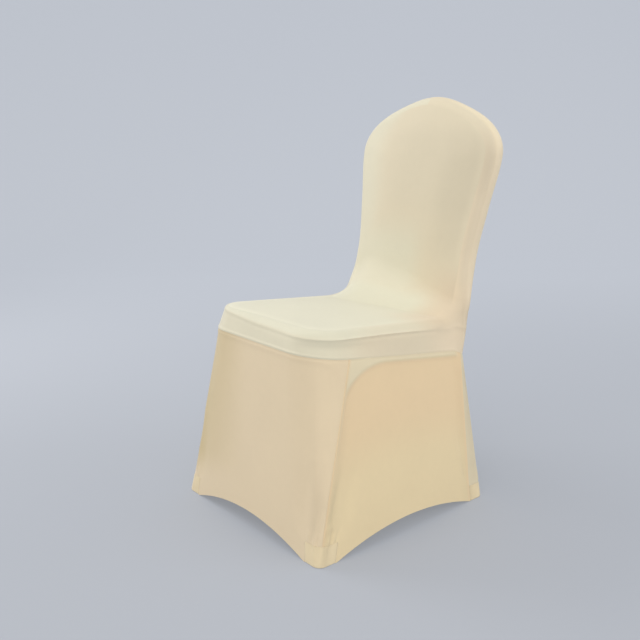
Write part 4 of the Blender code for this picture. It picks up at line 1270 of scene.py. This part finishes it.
REAR_BEND = BACK_SEAM + 9    # the column at the rear foot's outer corner
for foot, first, bend, last in (("front", POCKET_COLUMN, LEG_SEAM, LEG_SEAM + POCKET_END),
                                ("rear", BACK_SEAM, REAR_BEND, REAR_POCKET_END)):
    for mirror, side in ((1, "left"), (-1, "right")):
        pouch = foot_pocket(skirts[mirror], first, bend, last)
        piece = sewn_panel(foot + "_pocket_cloth_" + side, pouch)
        piece.data.materials.append(pocket_knit)
        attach(piece, "root")
        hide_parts(foot + "_pocket_" + side)
        stitches = stitching(foot + "_pocket_stitches_" + side, pouch[:1], [-2], slice(1, last - first),
                             cream_thread)

# ---------------------------------------------------------------------------------------------
# Floor, lights and camera: one sheet of plain pale paper is the floor and curves up into the wall
# behind the chair. Large soft lights stand to the left, to the right, in front and above, and the
# camera looks down a little at the cover's front and its left side.

VIEW_TURN = math.radians(49.935)
VIEW_RISE = math.radians(13.845)
VIEW_DISTANCE = 1.91714
AIM_HEIGHT = 0.45            # on the cover's middle line, and how far left of it and lower the view centres
AIM_LEFT = 0.02939
AIM_LOWER = 0.01124
SENSOR_WIDTH = 36            # millimetres
FOCAL_LENGTH = 46.4034375

level_back = Vector((math.sin(VIEW_TURN), -math.cos(VIEW_TURN), 0))
right_way = Vector((math.cos(VIEW_TURN), math.sin(VIEW_TURN), 0))
back_way = level_back * math.cos(VIEW_RISE) + Vector((0, 0, math.sin(VIEW_RISE)))
up_way = back_way.cross(right_way)
aim = Vector((0, 0, AIM_HEIGHT)) - right_way * AIM_LEFT - up_way * AIM_LOWER - Vector(HANGING_POINT)

SWEEP_START = 3.0            # how far behind the chair the paper starts to curve up
SWEEP_ROUND = 1.6            # radius of the curve
SWEEP_FRONT = 14             # how far it reaches in front of the chair
SWEEP_TOP = 8.5
SWEEP_HALF = 24              # half its width
PAPER_GREY = (0.24, 0.25, 0.27, 1)
GLOW_WHITE = (0.86, 0.91, 1.0, 1)   # the paper glows faintly, as if lit by more lamps of its own


def backdrop():
    """A pale paper sweep: the floor, which curves up into a wall well behind the chair."""
    curve = [(-SWEEP_START - SWEEP_ROUND * math.sin(t), SWEEP_ROUND * (1 - math.cos(t)))
             for t in np.radians(range(6, 91, 6))]
    cove = [(toward, 0) for toward in (SWEEP_FRONT, 11, 8, *np.linspace(6, -SWEEP_START, 19))]
    cove += curve + [(-SWEEP_START - SWEEP_ROUND, up) for up in (5.0, SWEEP_TOP)]
    points = [level_back * toward + right_way * across + Vector((0, 0, up - HANGING_POINT[2]))
              for toward, up in cove for across in (-SWEEP_HALF, SWEEP_HALF)]
    faces = [(k, k + 1, k + 3, k + 2) for k in range(0, len(points) - 2, 2)]
    sweep = new_piece("studio_backdrop", points, faces)
    set_shade(sweep, "glow", [0.25 + 0.17 * step(-0.5, 3.0, -toward) + 0.2 * step(5, 8, up)
                              for toward, up in cove for _ in (0, 1)])
    paper, tree, shader = new_material("studio_paper", {
        "Base Color": PAPER_GREY, "Roughness": 0.9, "Specular IOR Level": 0.1, "Emission Color": GLOW_WHITE})
    glow = add_node(tree, "Attribute", attribute_name="glow").outputs["Fac"]
    plug(shader, {"Emission Strength": glow})
    sweep.data.materials.append(paper)
    return sweep


backdrop()


def stand(name, data, place, backward):
    """Puts a lamp or the camera in its place, with its back turned one way."""
    thing = bpy.data.objects.new(name, data)
    thing.location = place
    thing.rotation_mode = "QUATERNION"
    thing.rotation_quaternion = backward.to_track_quat("Z", "Y")
    bpy.context.collection.objects.link(thing)
    return thing


def soft_light(name, right, up, toward, size, watts):
    """A large soft light, placed from the middle of the chair by the viewer's right, up and nearness."""
    lamp = bpy.data.lights.new(name, "AREA")
    lamp.energy, lamp.size = watts, size
    from_aim = right_way * right + Vector((0, 0, up)) + level_back * toward
    stand(name, lamp, aim + from_aim, from_aim)


soft_light("left_light", -2.0, 1.2, -0.9, 1.4, 24)
soft_light("front_light", -0.3, 0.6, 2.6, 1.6, 16)
soft_light("right_light", 2.4, 0.7, 0.6, 1.8, 13.5)
soft_light("top_light", 0.0, 2.6, 0.2, 2.0, 16)
world = bpy.data.worlds.new("studio")
world.use_nodes = True
world.node_tree.nodes["Background"].inputs[0].default_value = (0.98, 0.985, 1.0, 1)
world.node_tree.nodes["Background"].inputs[1].default_value = 0.69
bpy.context.scene.world = world
bpy.context.scene.view_settings.view_transform = "Standard"

lens = bpy.data.cameras.new("camera")
lens.sensor_width = SENSOR_WIDTH
lens.lens = FOCAL_LENGTH
bpy.context.scene.camera = stand("camera", lens, aim + back_way * VIEW_DISTANCE, back_way)
